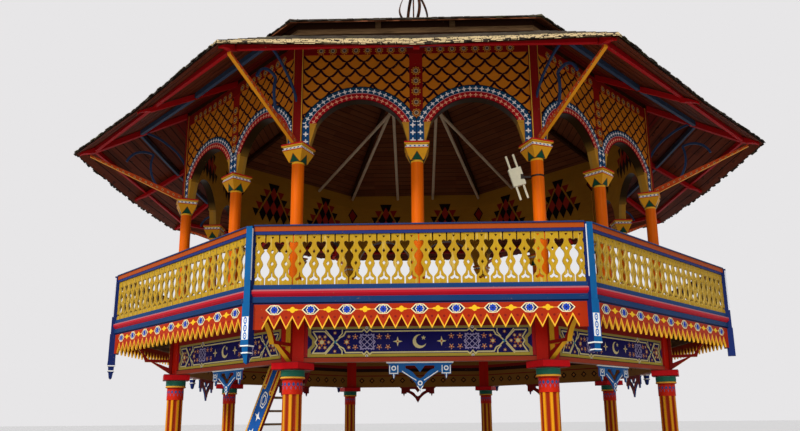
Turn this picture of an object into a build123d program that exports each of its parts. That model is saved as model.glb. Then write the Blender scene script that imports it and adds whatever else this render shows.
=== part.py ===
from build123d import *
from math import cos, hypot, pi, radians, sin, tan
import os

os.makedirs("parts", exist_ok=True)

# Eight-sided timber bandstand: open ground floor, balcony floor with a railing,
# arcaded upper floor, skirt roof and a second roof over it. Millimetres, ground at z = 0,
# front to -Y, the vertical axis through the middle.
side_names = ["front", "front_right", "right", "back_right", "back", "back_left", "left", "front_left"]
turn = 360 / len(side_names)
half_turn = turn / 2
flare = tan(radians(half_turn))
corner_factor = 1 / cos(radians(half_turn))
mitre_gap = 1.0
fit_gap = 0.3

# Plan sizes, measured square to a side from the middle
column_apothem = 4990
beam_thickness = 160
rail_apothem = 6190
eave_apothem = 7160
upper_eave_apothem = 5405

# Ground floor columns
plinth_width = 540
plinth_height = 300
plinth_chamfer = 30
column_width = 316
column_flutes = 8
flute_depth = 16
fillet_share = 0.17
flute_hollow = 0.33
neck_width = 330
neck_height = 240
collar_width = 400
collar_height = 150
collar_bead = 40
collar_chamfer = 12
abacus_width = 500
abacus_height = 120
column_height = 2190

# Frieze beams on the columns
beam_height = 790
beam_post_reach = 190
beam_post_proud = 18
frieze_rail_height = 80
frieze_rail_proud = 14

# Openwork boards under the middles of the beams
drop_board_half = 545
drop_board_thickness = 40
drop_board_strip = 62
drop_board_arm = 168
drop_board_tip = 480
drop_board_ring = 68
drop_board_ring_level = 350
drop_block_outer = 503
drop_block_inner = 345
drop_block_height = 200
drop_block_tip = 85
drop_block_tip_half = 28

# Brackets from the beam posts out to the balcony corners
bracket_width = 88
bracket_knee_out = 400
bracket_knee_rise = 250
bracket_ledge = 120
bracket_bulge = 60
bracket_margin = 55

# Balcony floor
joist_depth = 160
joist_width = 100
joist_hub = 620
board_thickness = 50
rim_joist_thickness = 80
rim_joist_drop = 100
rim_joist_back = 25
fascia_thickness = 30
fascia_height = 390
tooth_height = 175
tooth_pitch = 180
tooth_count = 25
moulding_height = 105
moulding_proud = 55
moulding_lip = 20
moulding_round = 14

# Railing
railing_height = 1000
cap_height = 100
cap_width = 130
cap_lip = 18
cap_nosing = 22
rail_height = 50
rail_width = 76
bottom_rail_height = 70
baluster_thickness = 32
baluster_count = 24
gap_foot = 0.15
post_width = 112
post_face = 6710
post_cover = 24
pendant_width = 134
pendant_drop = 1110
pendant_box = 360
pendant_swell = 6
pendant_ring = 20
pendant_taper = 12
pendant_neck = 155
pendant_point = 28
broken_drop = 140
plain_drop = 350

# Upper floor columns and arcade
upper_column_width = 216
upper_column_height = 2435
cushion_height = 185
cushion_foot = 230
upper_abacus_height = 120
upper_abacus_width = 430
abacus_step = 30
wall_thickness = 160
foot_half = 135
corbel_height = 360
corbel_reach = 100
arch_height = 830
wall_height = 1950
trim_width = 255
trim_proud = 14
rosette_board_height = 220
rosette_board_drop = 20
rosette_board_proud = 16
wall_post_reach = 70
wall_post_proud = 22
plate_height = 410

# Skirt roof
roof_thickness = 60
skirt_drop = 1330
skirt_below_plate = 310
eave_sag = 150
rafter_width = 90
rafter_depth = 120
rafter_end = 150
tail_length = 330
tail_depth = 45
purlin_depth = 95
purlin_width = 60
eave_purlin_in = 410
mid_purlin_in = 1200
strut_width = 64
strut_depth = 105
strut_foot = 60
strut_stop = 330
scroll_width = 34
scroll_band = 42

# Upper roof
upper_rise = 3250
boss_width = 260
boss_height = 420
step_board_height = 100
step_board_thickness = 25
eave_block_width = 100
eave_block_depth = 50
eave_block_spacing = 1330
hub_width = 1350
hub_bar = 80
hub_above_plate = 840
pole_width = 80
pole_drop = 112
pole_pair = 110
pole_slant = 155
pole_share = 0.33

# Finial
finial_stem = 40
finial_bulb = 395
finial_bulb_level = 400
finial_height = 1450
finial_cage = 1150
rib_thickness = 14
rib_width = 80
rib_count = 4
rib_turn = 23
knob_width = 90
finial_foot_height = 20

# Stair under the front left side
stair_apothem = 4300
stair_width = 760
stair_foot = -1070
stair_slope = 1.55
string_thickness = 50
string_depth = 420
far_string_depth = 140
riser_count = 14
tread_depth = 230
tread_thickness = 40
hatch_length = 1560
hatch_margin = 40
header_width = 80

# Tube lamp on the front right upper column
lamp_tube_length = 820
lamp_tube_width = 38
lamp_tube_spacing = 130
lamp_box_width = 220
lamp_box_height = 320
lamp_box_depth = 70
lamp_tilt = 16
lamp_height = 2130
lamp_arm = 130
lamp_arm_width = 30
lamp_clamp = 8

# Heights worked out from the sizes above
abacus_base = column_height + collar_height
beam_base = abacus_base + abacus_height
beam_top = beam_base + beam_height
board_base = beam_top + joist_depth
floor_level = board_base + board_thickness
moulding_base = floor_level - 2 * moulding_height
rail_top = floor_level + railing_height
upper_cushion_base = floor_level + upper_column_height
wall_base = upper_cushion_base + cushion_height + upper_abacus_height
wall_top = wall_base + wall_height
plate_top = wall_top + plate_height
wall_outer = column_apothem + wall_thickness / 2
wall_inner = column_apothem - wall_thickness / 2
beam_outer = column_apothem + beam_thickness / 2
beam_inner = column_apothem - beam_thickness / 2
rim_outer = rail_apothem - moulding_proud - rim_joist_back
column_radius = column_apothem * corner_factor
bay = column_apothem * flare
railing_line = rail_apothem - cap_width / 2
post_line = post_face - post_width / 2
wall_end = bay - wall_post_reach
arch_centre = wall_end / 2
arch_half = arch_centre - foot_half


def prism(points, base, top):
    """An upright solid over an outline in plan."""
    return Pos(0, 0, base) * extrude(make_face(Polyline(*points, close=True)), top - base)


def square_block(width, base, top):
    return Pos(0, 0, base) * extrude(Rectangle(width, width), top - base)


def bar(profile, left, right):
    """A bar across a side: the profile gives distance out from the middle and height."""
    plane = Plane(origin=(right, 0, 0), x_dir=(0, -1, 0), z_dir=(-1, 0, 0))
    return extrude(plane * make_face(Polyline(*profile, close=True)), right - left)


def square_form(outline):
    """A form of square section, given as half widths and heights from one end to the other."""
    widest = max(wide for wide, height in outline)
    profile = outline + [(-wide, height) for wide, height in reversed(outline) if wide > 0]
    slab = extrude(Plane.XZ * make_face(Polyline(*profile, close=True)), widest, both=True)
    return slab & Rot(0, 0, 90) * slab


def fin(profile, width):
    """A plate that stands out from the middle, drawn as distance out and height."""
    return bar(profile, -width / 2, width / 2)


def plate(sketch, inner, outer):
    """A sketch of a side's elevation, given thickness between two distances out."""
    return extrude(Plane(origin=(0, -inner, 0), x_dir=(1, 0, 0), z_dir=(0, -1, 0)) * sketch, outer - inner)


def polygon(points):
    return make_face(Polyline(*points, close=True))


def wedge(gap=mitre_gap):
    """The eighth of the plan that belongs to the front side."""
    reach = 2 * eave_apothem
    tip = gap / 2 / sin(radians(half_turn))
    return prism([(0, -tip), (reach * flare, -tip - reach), (-reach * flare, -tip - reach)], -10, 20000)


def mitred(profile):
    """A bar cut to the corner planes at both ends."""
    outermost = max(out for out, height in profile)
    return bar(profile, -outermost * flare - 10, outermost * flare + 10) & wedge()


def octagon_block(apothem, base, top):
    """An eight-sided block with a flat side to the front."""
    radius = apothem * corner_factor
    angles = [radians(turn * k + half_turn) for k in range(len(side_names))]
    return prism([(radius * sin(a), -radius * cos(a)) for a in angles], base, top)


def at_side(shape, side):
    return Rot(0, 0, turn * side) * shape


def at_corner(shape, corner):
    return Rot(0, 0, turn * corner - half_turn) * shape


def round_sides(shape):
    return [at_side(shape, side) for side in range(len(side_names))]


def round_corners(shape):
    return [at_corner(shape, corner) for corner in range(len(side_names))]


def save(name, shapes):
    solids = [solid for shape in shapes for solid in shape.solids()]
    export_step(solids[0] if len(solids) == 1 else Compound(solids), f"parts/{name}.step")


def corner_post(inner, outer, reach, base, top):
    """A post that wraps a corner, in the corner's own frame."""
    turned = radians(half_turn)

    def in_corner_frame(x, out):
        return (x * cos(turned) - out * sin(turned), -x * sin(turned) - out * cos(turned))

    end = bay - reach
    near = [in_corner_frame(end, outer), in_corner_frame(outer * flare, outer)]
    far = [in_corner_frame(inner * flare, inner), in_corner_frame(end, inner)]
    mirrored = [(-near[0][0], near[0][1]), (-far[1][0], far[1][1])]
    return prism([near[0], near[1], mirrored[0], mirrored[1], far[0], far[1]], base, top)


# Ground floor

def column_plinth():
    block = square_block(plinth_width, 0, plinth_height)
    return Pos(0, -column_radius, 0) * chamfer(block.faces().sort_by(Axis.Z)[-1].edges(), plinth_chamfer)


def fluted_column():
    """A shaft with sunk flutes and a plain round neck."""
    ring = []
    for flute in range(column_flutes):
        for part, depth in ((-fillet_share, 0), (0, 0), (fillet_share, 0), (flute_hollow, flute_depth * 0.8),
                            (0.5, flute_depth), (1 - flute_hollow, flute_depth * 0.8)):
            angle = 2 * pi * (flute + part + 0.5) / column_flutes
            r = column_width / 2 - depth
            ring.append((r * cos(angle), r * sin(angle)))
    shaft = prism(ring, plinth_height, column_height - neck_height)
    neck = Pos(0, 0, column_height - neck_height) * extrude(Circle(neck_width / 2), neck_height)
    return Pos(0, -column_radius, 0) * (shaft + neck)


def column_collar():
    """Turned ring: a bead below and a drum above."""
    r = collar_width / 2
    c = collar_chamfer
    outline = [
        (0, 0), (r - c, 0), (r, c), (r, collar_bead - c), (r - c, collar_bead), (r - c / 2, collar_bead + c),
        (r - c / 2, collar_height - c), (r - 2 * c, collar_height), (0, collar_height),
    ]
    return Pos(0, -column_radius, column_height) * revolve(Plane.XZ * polygon(outline), Axis.Z)


def column_abacus():
    return Pos(0, -column_radius, 0) * square_block(abacus_width, abacus_base, beam_base)


def frieze_beam():
    """Beam between two posts with a sill rail along its foot and a narrower one above the field."""
    rail = beam_outer + frieze_rail_proud
    profile = [
        (beam_inner, beam_base), (rail, beam_base), (rail, beam_base + frieze_rail_height),
        (beam_outer, beam_base + frieze_rail_height), (beam_outer, beam_top), (beam_inner, beam_top),
    ]
    end = bay - beam_post_reach
    return bar(profile, -end, end)


def beam_pendant():
    """Openwork board under the middle of a beam: two end blocks, and curved arms that meet in a drop."""
    arm = drop_board_arm
    level = drop_board_ring_level
    strip = drop_board_strip
    ring = drop_board_ring
    block = drop_block_height
    tip = (drop_block_inner + drop_block_outer) / 2
    elbow = drop_block_inner - drop_block_tip_half * 1.5
    outline = Polyline((0, -drop_board_tip), (ring * 0.3, -level - ring), (ring * 0.8, -level - ring / 2),
                       (ring, -level))
    outline += ThreePointArc((ring, -level), (elbow * 0.55, -arm * 1.5), (elbow, -arm))
    outline += Polyline((elbow, -arm), (drop_block_inner, -arm), (drop_block_inner, -block),
                        (tip - drop_block_tip_half, -block), (tip, -block - drop_block_tip),
                        (tip + drop_block_tip_half, -block), (drop_block_outer, -block),
                        (drop_block_outer, -strip * 0.7), (drop_board_half, -strip * 0.3), (drop_board_half, 0),
                        (0, 0), (0, -drop_board_tip))
    corner = (elbow - ring, -strip)
    low = (ring * 0.9, -level + arm * 0.65)
    window = Polyline((0, -level + arm * 0.45), (0, -arm), (ring * 1.2, -strip), corner)
    window += Polyline(corner, (corner[0], -arm * 0.65))
    window += ThreePointArc((corner[0], -arm * 0.65), (elbow * 0.46, -arm * 0.92), low)
    window += Polyline(low, (0, -level + arm * 0.45))
    side = make_face(outline) - make_face(window)
    sketch = Pos(0, beam_base) * (side + mirror(side, Plane.YZ))
    return plate(sketch, column_apothem - drop_board_thickness / 2, column_apothem + drop_board_thickness / 2)


def corner_bracket():
    """Openwork bracket from a beam post out to the balcony corner: a straight brace, a ledge and a curve."""
    foot = (beam_outer + beam_post_proud) * corner_factor + fit_gap
    knee = (foot + bracket_knee_out, beam_base + bracket_knee_rise)
    ledge = (knee[0] + bracket_ledge, knee[1])
    tip = ((rim_outer - rim_joist_thickness) * corner_factor - bracket_margin, beam_top - rim_joist_drop)
    middle = ((ledge[0] + tip[0]) / 2 - bracket_bulge, (ledge[1] + tip[1]) / 2 + bracket_bulge)
    outline = Polyline((foot, beam_top), (foot, beam_base + fit_gap), knee, ledge)
    outline += ThreePointArc(ledge, middle, tip)
    outline += Polyline(tip, (tip[0], beam_top), (foot, beam_top))
    inside = foot + bracket_margin
    low = beam_base + bracket_knee_rise
    high = beam_top - bracket_margin
    window = polygon([(inside, low - bracket_margin * 2), (knee[0] - bracket_margin, low), (inside, low)])
    opening = polygon([(inside, low + bracket_margin), (ledge[0] - bracket_margin, low + bracket_margin),
                       (middle[0] - bracket_margin, middle[1]), (middle[0], high), (inside, high)])
    plane = Plane(origin=(bracket_width / 2, 0, 0), x_dir=(0, -1, 0), z_dir=(-1, 0, 0))
    return extrude(plane * (make_face(outline) - window - opening), bracket_width)


# Balcony floor

def radial_joist(start, end):
    return bar([(start, beam_top), (end, beam_top), (end, board_base), (start, board_base)],
               -joist_width / 2, joist_width / 2)


hatch_outer = stair_apothem + hatch_margin
hatch_inner = stair_apothem - stair_width - hatch_margin
hatch_end = stair_foot + floor_level / stair_slope
hatch_start = hatch_end - hatch_length
stair_side = side_names.index("front_left")


def floor_joists():
    """Joists from the middle to every corner and to the middle of every side, trimmed round the stair."""
    hub = joist_hub
    corner_end = (rim_outer - rim_joist_thickness) * corner_factor - joist_width / 2 * flare - 1
    side_end = rim_outer - rim_joist_thickness
    pieces = [at_corner(radial_joist(hub, corner_end), corner) for corner in range(len(side_names))]
    for side in range(len(side_names)):
        if side != stair_side:
            pieces.append(at_side(radial_joist(hub, side_end), side))
    inner_trimmer = hatch_inner - joist_width
    pieces.append(at_side(radial_joist(hub, inner_trimmer - 1), stair_side))
    pieces.append(at_side(radial_joist(hatch_outer + joist_width + 1, side_end), stair_side))
    for start in (inner_trimmer, hatch_outer):
        reach = start * flare - joist_width / 2 * corner_factor - 1
        profile = [(start, beam_top), (start + joist_width, beam_top),
                   (start + joist_width, board_base), (start, board_base)]
        pieces.append(at_side(bar(profile, -reach, reach), stair_side))
    for x in (hatch_start - header_width, hatch_end):
        header = bar([(hatch_inner, beam_top), (hatch_outer, beam_top),
                      (hatch_outer, board_base), (hatch_inner, board_base)], x, x + header_width)
        pieces.append(at_side(header, stair_side))
    pieces.append(Rot(0, 0, half_turn) * octagon_block(hub, beam_top, board_base))
    return pieces


def floor_sector(inner, outer, left=None, right=None):
    """A piece of one side's floor between two distances out, cut to the corner planes."""
    profile = [(inner, board_base), (outer, board_base), (outer, floor_level), (inner, floor_level)]
    width = outer * flare + 10
    piece = bar(profile, -width if left is None else left, width if right is None else right)
    return less_posts(piece & wedge())


def floor_boards():
    whole = floor_sector(0, rim_outer)
    pieces = [at_side(whole, side) for side in range(len(side_names)) if side != stair_side]
    around = [
        floor_sector(0, hatch_inner),
        floor_sector(hatch_outer, rim_outer),
        floor_sector(hatch_inner + mitre_gap, hatch_outer - mitre_gap, right=hatch_start),
        floor_sector(hatch_inner + mitre_gap, hatch_outer - mitre_gap, left=hatch_end),
    ]
    return pieces + [at_side(piece, stair_side) for piece in around]


def rim_joist():
    inner = rim_outer - rim_joist_thickness
    base = beam_top - rim_joist_drop
    profile = [(inner, base), (rim_outer, base), (rim_outer, board_base), (inner, board_base)]
    return less_posts(mitred(profile))


def fascia_board():
    """Board with a saw-toothed lower edge and plain ends."""
    outer = rim_outer + fascia_thickness
    half_length = outer * flare
    top = moulding_base
    low = top - fascia_height
    first = -tooth_count / 2 * tooth_pitch
    points = [(-half_length, top), (-half_length, low), (first - tooth_pitch / 2, low)]
    for notch in range(tooth_count + 1):
        x = first + notch * tooth_pitch
        points += [(x, low + tooth_height), (x + tooth_pitch / 2, low)]
    points += [(half_length, low), (half_length, top)]
    return less_posts(plate(polygon(points), rim_outer, outer) & wedge())


def balcony_moulding():
    """Round-nosed strip over the fascia with a second strip on it."""
    mid = moulding_base + moulding_height
    outer = rim_outer + moulding_proud
    nose = moulding_round
    profile = [
        (rim_outer, moulding_base), (outer - nose, moulding_base), (outer, moulding_base + nose),
        (outer, mid - nose), (outer - nose, mid), (outer, mid + nose), (outer + moulding_lip, mid + 3 * nose),
        (outer + moulding_lip, floor_level - nose), (outer, floor_level), (rim_outer, floor_level),
    ]
    return less_posts(mitred(profile))


# Railing

def baluster_gap(pitch, base, top):
    """One gap between two boards: a drop and two lozenges in a chain under a flat head."""
    height = top - base
    half = pitch / 2
    shape = [(0.304, 0.57), (0.432, 0.24), (0.559, 0.59), (0.667, 0.21), (0.824, 0.73)]
    left = [(-half * share, base + height * level) for level, share in shape]
    right = [(half * share, base + height * level) for level, share in reversed(shape)]
    return polygon([(0, base + height * gap_foot)] + left + right)


def balustrade():
    """Top rail, bottom rail and the balusters of one side."""
    inner = railing_line - baluster_thickness / 2
    outer = railing_line + baluster_thickness / 2
    panel_length = 2 * railing_line * flare
    base = floor_level + bottom_rail_height
    top = rail_top - cap_height - rail_height
    pitch = panel_length / baluster_count
    gap = baluster_gap(pitch, base, top)
    gaps = [Pos(pitch * (k - baluster_count / 2), 0) * gap for k in range(1, baluster_count)]
    field = Pos(0, (base + top) / 2) * Rectangle(panel_length, top - base)
    panel = plate(field - gaps, inner, outer) & wedge()
    lip = cap_lip
    cap_foot = rail_top - cap_nosing
    cap_inner = rail_apothem - cap_width
    rail = [
        (railing_line - rail_width / 2, top), (railing_line + rail_width / 2, top),
        (railing_line + rail_width / 2, top + rail_height), (rail_apothem - lip, top + rail_height),
        (rail_apothem - lip, cap_foot), (rail_apothem, cap_foot), (rail_apothem - lip / 3, rail_top),
        (cap_inner + lip / 3, rail_top), (cap_inner, cap_foot), (cap_inner + lip, cap_foot),
        (cap_inner + lip, top + rail_height), (railing_line - rail_width / 2, top + rail_height),
    ]
    sill = [
        (railing_line - rail_width / 2, floor_level), (railing_line + rail_width / 2, floor_level),
        (railing_line + rail_width / 2, base), (railing_line - rail_width / 2, base),
    ]
    return less_posts(mitred(rail) + mitred(sill) + panel)


def post_space():
    """Room for a corner post and the head of its pendant."""
    width = post_width + mitre_gap
    head = pendant_width + mitre_gap
    room = square_block(width, moulding_base - mitre_gap, rail_top - post_cover + mitre_gap)
    room += square_block(head, beam_base, moulding_base)
    return Pos(0, -post_line, 0) * room


def less_posts(shape):
    """Notches a side's piece round the corner posts at its two ends."""
    return shape - at_corner(post_space(), 0) - at_corner(post_space(), 1)


def railing_post(drop=0):
    """Corner post that runs down past the floor to a carved pendant, or to what is left of one."""
    half = pendant_width / 2
    box = moulding_base - mitre_gap
    bottom = floor_level - pendant_drop
    neck = bottom + pendant_neck
    low = bottom + pendant_box
    waist = low - pendant_neck / 2
    swell = half + pendant_swell
    ring = pendant_ring
    taper = pendant_taper
    outline = [
        (post_width / 2, rail_top - post_cover), (post_width / 2, box), (half, box), (half, low),
        (swell, waist), (swell, waist - ring), (half - taper, waist - ring), (half - 1.5 * taper, neck + ring),
        (half - taper / 2, neck + ring), (half - taper / 2, neck), (half - 2 * taper, neck - ring),
        (pendant_point, bottom + pendant_point), (0, bottom),
    ]
    post = Pos(0, -post_line, 0) * square_form(outline)
    if drop:
        post -= Pos(0, -post_line, 0) * square_block(4 * half, bottom - ring, bottom + drop)
    return post


# Upper floor

def upper_column(radius):
    return Pos(0, -radius, floor_level) * extrude(Circle(upper_column_width / 2), upper_column_height)


def upper_capital(radius):
    """Cushion that spreads from the shaft to a moulded square abacus."""
    base = upper_cushion_base + cushion_height
    half = upper_abacus_width / 2
    step = abacus_step
    outline = [
        (cushion_foot / 2, upper_cushion_base), (half - step * 0.7, base), (half - step / 2, base),
        (half - step / 2, base + step), (half - step, base + step), (half - step, wall_base - 1.5 * step),
        (half, wall_base - 1.5 * step), (half, wall_base),
    ]
    return Pos(0, -radius, 0) * square_form(outline)


def arch_sketch():
    """An arched opening: corbels that lean in from the feet, and one arc on them."""
    spring = arch_half - corbel_reach
    left, right = (-spring, corbel_height), (spring, corbel_height)
    outline = Polyline(left, (-arch_half, 0), (arch_half, 0), right)
    return make_face(outline + ThreePointArc(right, (0, arch_height), left))


def over_arches(shape):
    """A sketch repeated over the two arches of a side."""
    return [Pos(-arch_centre, wall_base) * shape, Pos(arch_centre, wall_base) * shape]


def arch_panel():
    """Wall over two arches of one side, standing on three capitals."""
    field = Pos(0, wall_base + wall_height / 2) * Rectangle(2 * wall_end, wall_height)
    return plate(field - over_arches(arch_sketch()), wall_inner, wall_outer)


def rosette_board():
    end = wall_end - 1
    outer = wall_outer + rosette_board_proud
    top = wall_top - rosette_board_drop
    base = top - rosette_board_height
    return bar([(wall_outer, base), (outer, base), (outer, top), (wall_outer, top)], -end, end)


def wall_plate():
    return mitred([(wall_inner, wall_top), (wall_outer, wall_top), (wall_outer, plate_top),
                   (wall_inner, plate_top)])


# Skirt roof

skirt_high = plate_top - skirt_below_plate
skirt_slope = skirt_drop / (eave_apothem - wall_outer)
step_board_base = skirt_high + roof_thickness + 2


sag_slope = eave_sag / (eave_apothem * flare)
side_slope = skirt_slope + sag_slope * flare


def skirt_underside(out, along):
    """Height under a slope, which sags from its hips to the middle of the side."""
    return skirt_high - (out - wall_outer) * side_slope + (abs(along) - wall_outer * flare) * sag_slope


def skirt_roof():
    """The two flat halves of a side's slope, which meet in a shallow valley."""
    start = wall_outer + mitre_gap
    gap = mitre_gap / 2
    hip = gap * corner_factor
    plan = [(gap, start), (gap, eave_apothem), (eave_apothem * flare - hip, eave_apothem),
            (start * flare - hip, start)]
    edge = Polyline(*[(along, -out, skirt_underside(out, along)) for along, out in plan], close=True)
    half = extrude(make_face(edge), roof_thickness, dir=(0, 0, 1))
    return half + mirror(half, Plane.YZ)


def tail(start, end, top):
    """Underside of a rafter: full depth to the tail, then an ogee to a thin end."""
    knee = end - tail_length
    middle = (knee + end) / 2
    points = [(start, top(start) - rafter_depth), (knee, top(knee) - rafter_depth)]
    half = (middle, top(middle) - (rafter_depth + tail_depth) / 2)
    lean = (rafter_depth - tail_depth) / 6
    upper = ((knee + middle) / 2, top((knee + middle) / 2) - rafter_depth + lean / 2)
    lower = ((middle + end) / 2, top((middle + end) / 2) - tail_depth - lean / 2)
    last = (end, top(end) - tail_depth)
    edge = Polyline(*points) + ThreePointArc(points[1], upper, half) + ThreePointArc(half, lower, last)
    return edge + Polyline(last, (end, top(end)), (start, top(start)), points[0])


def rafter(start, end, top):
    plane = Plane(origin=(rafter_width / 2, 0, 0), x_dir=(0, -1, 0), z_dir=(-1, 0, 0))
    return extrude(plane * make_face(tail(start, end, top)), rafter_width)


def hip_top(radius):
    """Top of a hip rafter, just clear of the two slopes that meet over it."""
    out = radius / corner_factor
    lean = sin(radians(half_turn)) * side_slope + cos(radians(half_turn)) * sag_slope
    return skirt_underside(out, out * flare) - rafter_width / 2 * lean - fit_gap


def hip_rafter():
    start = (wall_outer + wall_post_proud) * corner_factor + fit_gap
    return rafter(start, (eave_apothem - rafter_end) * corner_factor, hip_top)


def mid_rafter():
    start = wall_outer + rosette_board_proud + fit_gap
    return rafter(start, eave_apothem - rafter_end, lambda out: skirt_underside(out, 0) - fit_gap)


def purlin(inset):
    """Two lengths of purlin on one side, which slope with the roof from the mid rafter up to the hips."""
    out = eave_apothem - inset
    face = out + purlin_width / 2
    left = rafter_width / 2 + 1
    right = (out - purlin_width / 2) * flare - rafter_width / 2 * corner_factor - 1

    def top(along):
        return skirt_underside(face, along) - 0.5

    length = polygon([(left, top(left) - purlin_depth), (right, top(right) - purlin_depth), (right, top(right)),
                      (left, top(left))])
    return plate(length + mirror(length, Plane.YZ), face - purlin_width, face)


def strut_outline(gap=0):
    """Slanted strut from a capital to the outer part of a hip rafter, as distance out and height."""
    foot = (wall_outer + wall_post_proud) * corner_factor + fit_gap
    head = (eave_apothem - strut_stop) * corner_factor
    head_height = hip_top(head) - rafter_depth
    base = wall_base + fit_gap
    return [(foot, base), (foot + strut_foot, base), (head, head_height - strut_depth * 0.4),
            (head, head_height + gap), (foot, base + strut_depth + gap)]


def eave_strut():
    return fin(strut_outline(), strut_width)


def eave_scroll():
    """Tracery between a wall corner, its strut and its rafter: an S from the wall and a hook on the strut."""
    wall = (wall_outer + wall_post_proud) * corner_factor + fit_gap
    head = (eave_apothem - strut_stop) * corner_factor
    reach = head - wall
    level = wall_base + corbel_height + trim_width
    rise = hip_top(wall) - rafter_depth - level

    def spot(out, up):
        return (wall + reach * out, level + rise * up)

    curves = [
        (spot(-0.05, 0), spot(0.03, 0.26), spot(0.19, 0.48)),
        (spot(0.19, 0.48), spot(0.50, 0.66), spot(0.95, 0.46)),
        (spot(0.26, -0.30), spot(0.36, 0.02), spot(0.34, 0.27)),
        (spot(0.34, 0.27), spot(0.46, 0.30), spot(0.62, 0.10)),
    ]
    bars = trace(ThreePointArc(*curves[0]), scroll_band)
    for curve in curves[1:]:
        bars += trace(ThreePointArc(*curve), scroll_band)
    top = [(wall, hip_top(wall) - rafter_depth - fit_gap), (head, hip_top(head) - rafter_depth - fit_gap)]
    foot, toe, low, high, back = strut_outline(fit_gap)
    room = polygon([back, high, top[1], top[0]])
    plane = Plane(origin=(scroll_width / 2, 0, 0), x_dir=(0, -1, 0), z_dir=(-1, 0, 0))
    return extrude(plane * (bars & room), scroll_width)


# Upper roof

upper_slope = upper_rise / upper_eave_apothem
upper_eave_height = plate_top - (upper_eave_apothem - wall_outer) * upper_slope + fit_gap


def upper_underside(out):
    return upper_eave_height + (upper_eave_apothem - out) * upper_slope


def upper_roof():
    inner = boss_width / 2 + 2
    return mitred([
        (inner, upper_underside(inner)), (upper_eave_apothem, upper_underside(upper_eave_apothem)),
        (upper_eave_apothem, upper_underside(upper_eave_apothem) + roof_thickness),
        (inner, upper_underside(inner) + roof_thickness),
    ])


boss_top = upper_underside(boss_width / 2) + roof_thickness + 30


def roof_boss():
    """Eight-sided block at the top of the roof that the rafters lean on."""
    return octagon_block(boss_width / 2, boss_top - boss_height, boss_top)


def upper_rafter():
    sink = rafter_width / 2 * sin(radians(half_turn)) * upper_slope + fit_gap
    start = boss_width / 2 * corner_factor + fit_gap
    end = wall_inner * corner_factor - rafter_width / 2 * flare - fit_gap

    def top(radius):
        return upper_underside(radius / corner_factor) - sink

    return fin([(start, top(start) - rafter_depth), (end, top(end) - rafter_depth), (end, top(end)),
                (start, top(start))], rafter_width)


hub_base = plate_top + hub_above_plate


def hub_frame():
    """Square frame that the ceiling poles hold."""
    outline = Rectangle(hub_width, hub_width) - Rectangle(hub_width - 2 * hub_bar, hub_width - 2 * hub_bar)
    return Pos(0, 0, hub_base) * extrude(outline, hub_bar)


def ceiling_poles():
    """Three poles from each corner of the square frame to the near side, its corner and past that."""
    half = hub_width / 2
    room = octagon_block(wall_inner - fit_gap, 0, 2 * hub_base)
    frame = square_block(hub_width + 2 * fit_gap, 0, 2 * hub_base)
    end_height = plate_top - pole_drop
    corner = (wall_inner * flare, wall_inner)
    step = (corner[1] - corner[0]) * pole_share
    past = (corner[0] + step, corner[1] - step)
    routes = [
        ((half - pole_pair, half - pole_width), (half - pole_pair, wall_inner)),
        ((half - pole_width * 0.3, half - pole_width), corner),
        ((half - pole_width, half - pole_slant), past),
    ]
    poles = []
    for start, end in routes:
        foot = Vector(*start, hub_base + hub_bar / 2)
        reach = Vector(*end, end_height) - foot
        whole = extrude(Plane(origin=foot, z_dir=reach) * Circle(pole_width / 2), reach.length + pole_width)
        poles.append((whole & room) - frame)
    poles += [mirror(pole, Plane.YZ) for pole in poles]
    return poles + [mirror(pole, Plane.XZ) for pole in poles]


def finial():
    """Wrought iron onion cage of flat straps round a stem with a knob."""
    base = Pos(0, 0, boss_top) * extrude(Circle(boss_width / 2 - finial_stem), finial_foot_height)
    stem = Pos(0, 0, boss_top) * extrude(Circle(finial_stem / 2), finial_height)
    knob = Pos(0, 0, boss_top + finial_height) * Sphere(knob_width / 2)
    low = (finial_stem * 1.5, finial_foot_height / 2)
    wide = (finial_bulb, finial_bulb_level)
    neck = (finial_stem * 2.5, finial_cage * 0.86)
    top = (0, finial_cage + rib_thickness)
    curve = ThreePointArc(low, (finial_bulb * 0.82, finial_bulb_level * 0.35), wide)
    curve += ThreePointArc(wide, (finial_bulb * 0.74, finial_cage * 0.62), neck)
    curve += Line(neck, top)
    strap = extrude(Plane.XZ * trace(curve, rib_thickness), rib_width / 2, both=True)
    shape = base + stem + knob
    for k in range(rib_count):
        shape += Pos(0, 0, boss_top) * Rot(0, 0, 360 / rib_count * k - 90 + rib_turn) * strap
    return shape


def step_board():
    """Board round the wall top over the skirt roof."""
    outer = wall_outer + step_board_thickness
    top = step_board_base + step_board_height
    return mitred([(wall_outer, step_board_base), (outer, step_board_base), (outer, top), (wall_outer, top)])


def eave_blocks():
    """Two stub posts between the step board and the upper eave on each side."""
    top = upper_underside(wall_outer + eave_block_depth) - fit_gap
    base = step_board_base + step_board_height + fit_gap
    outer = wall_outer + eave_block_depth
    half = eave_block_width / 2
    profile = [(wall_outer, base), (outer, base), (outer, top), (wall_outer, top)]
    return [bar(profile, x - half, x + half) for x in (-eave_block_spacing / 2, eave_block_spacing / 2)]


# Lamp

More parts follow.
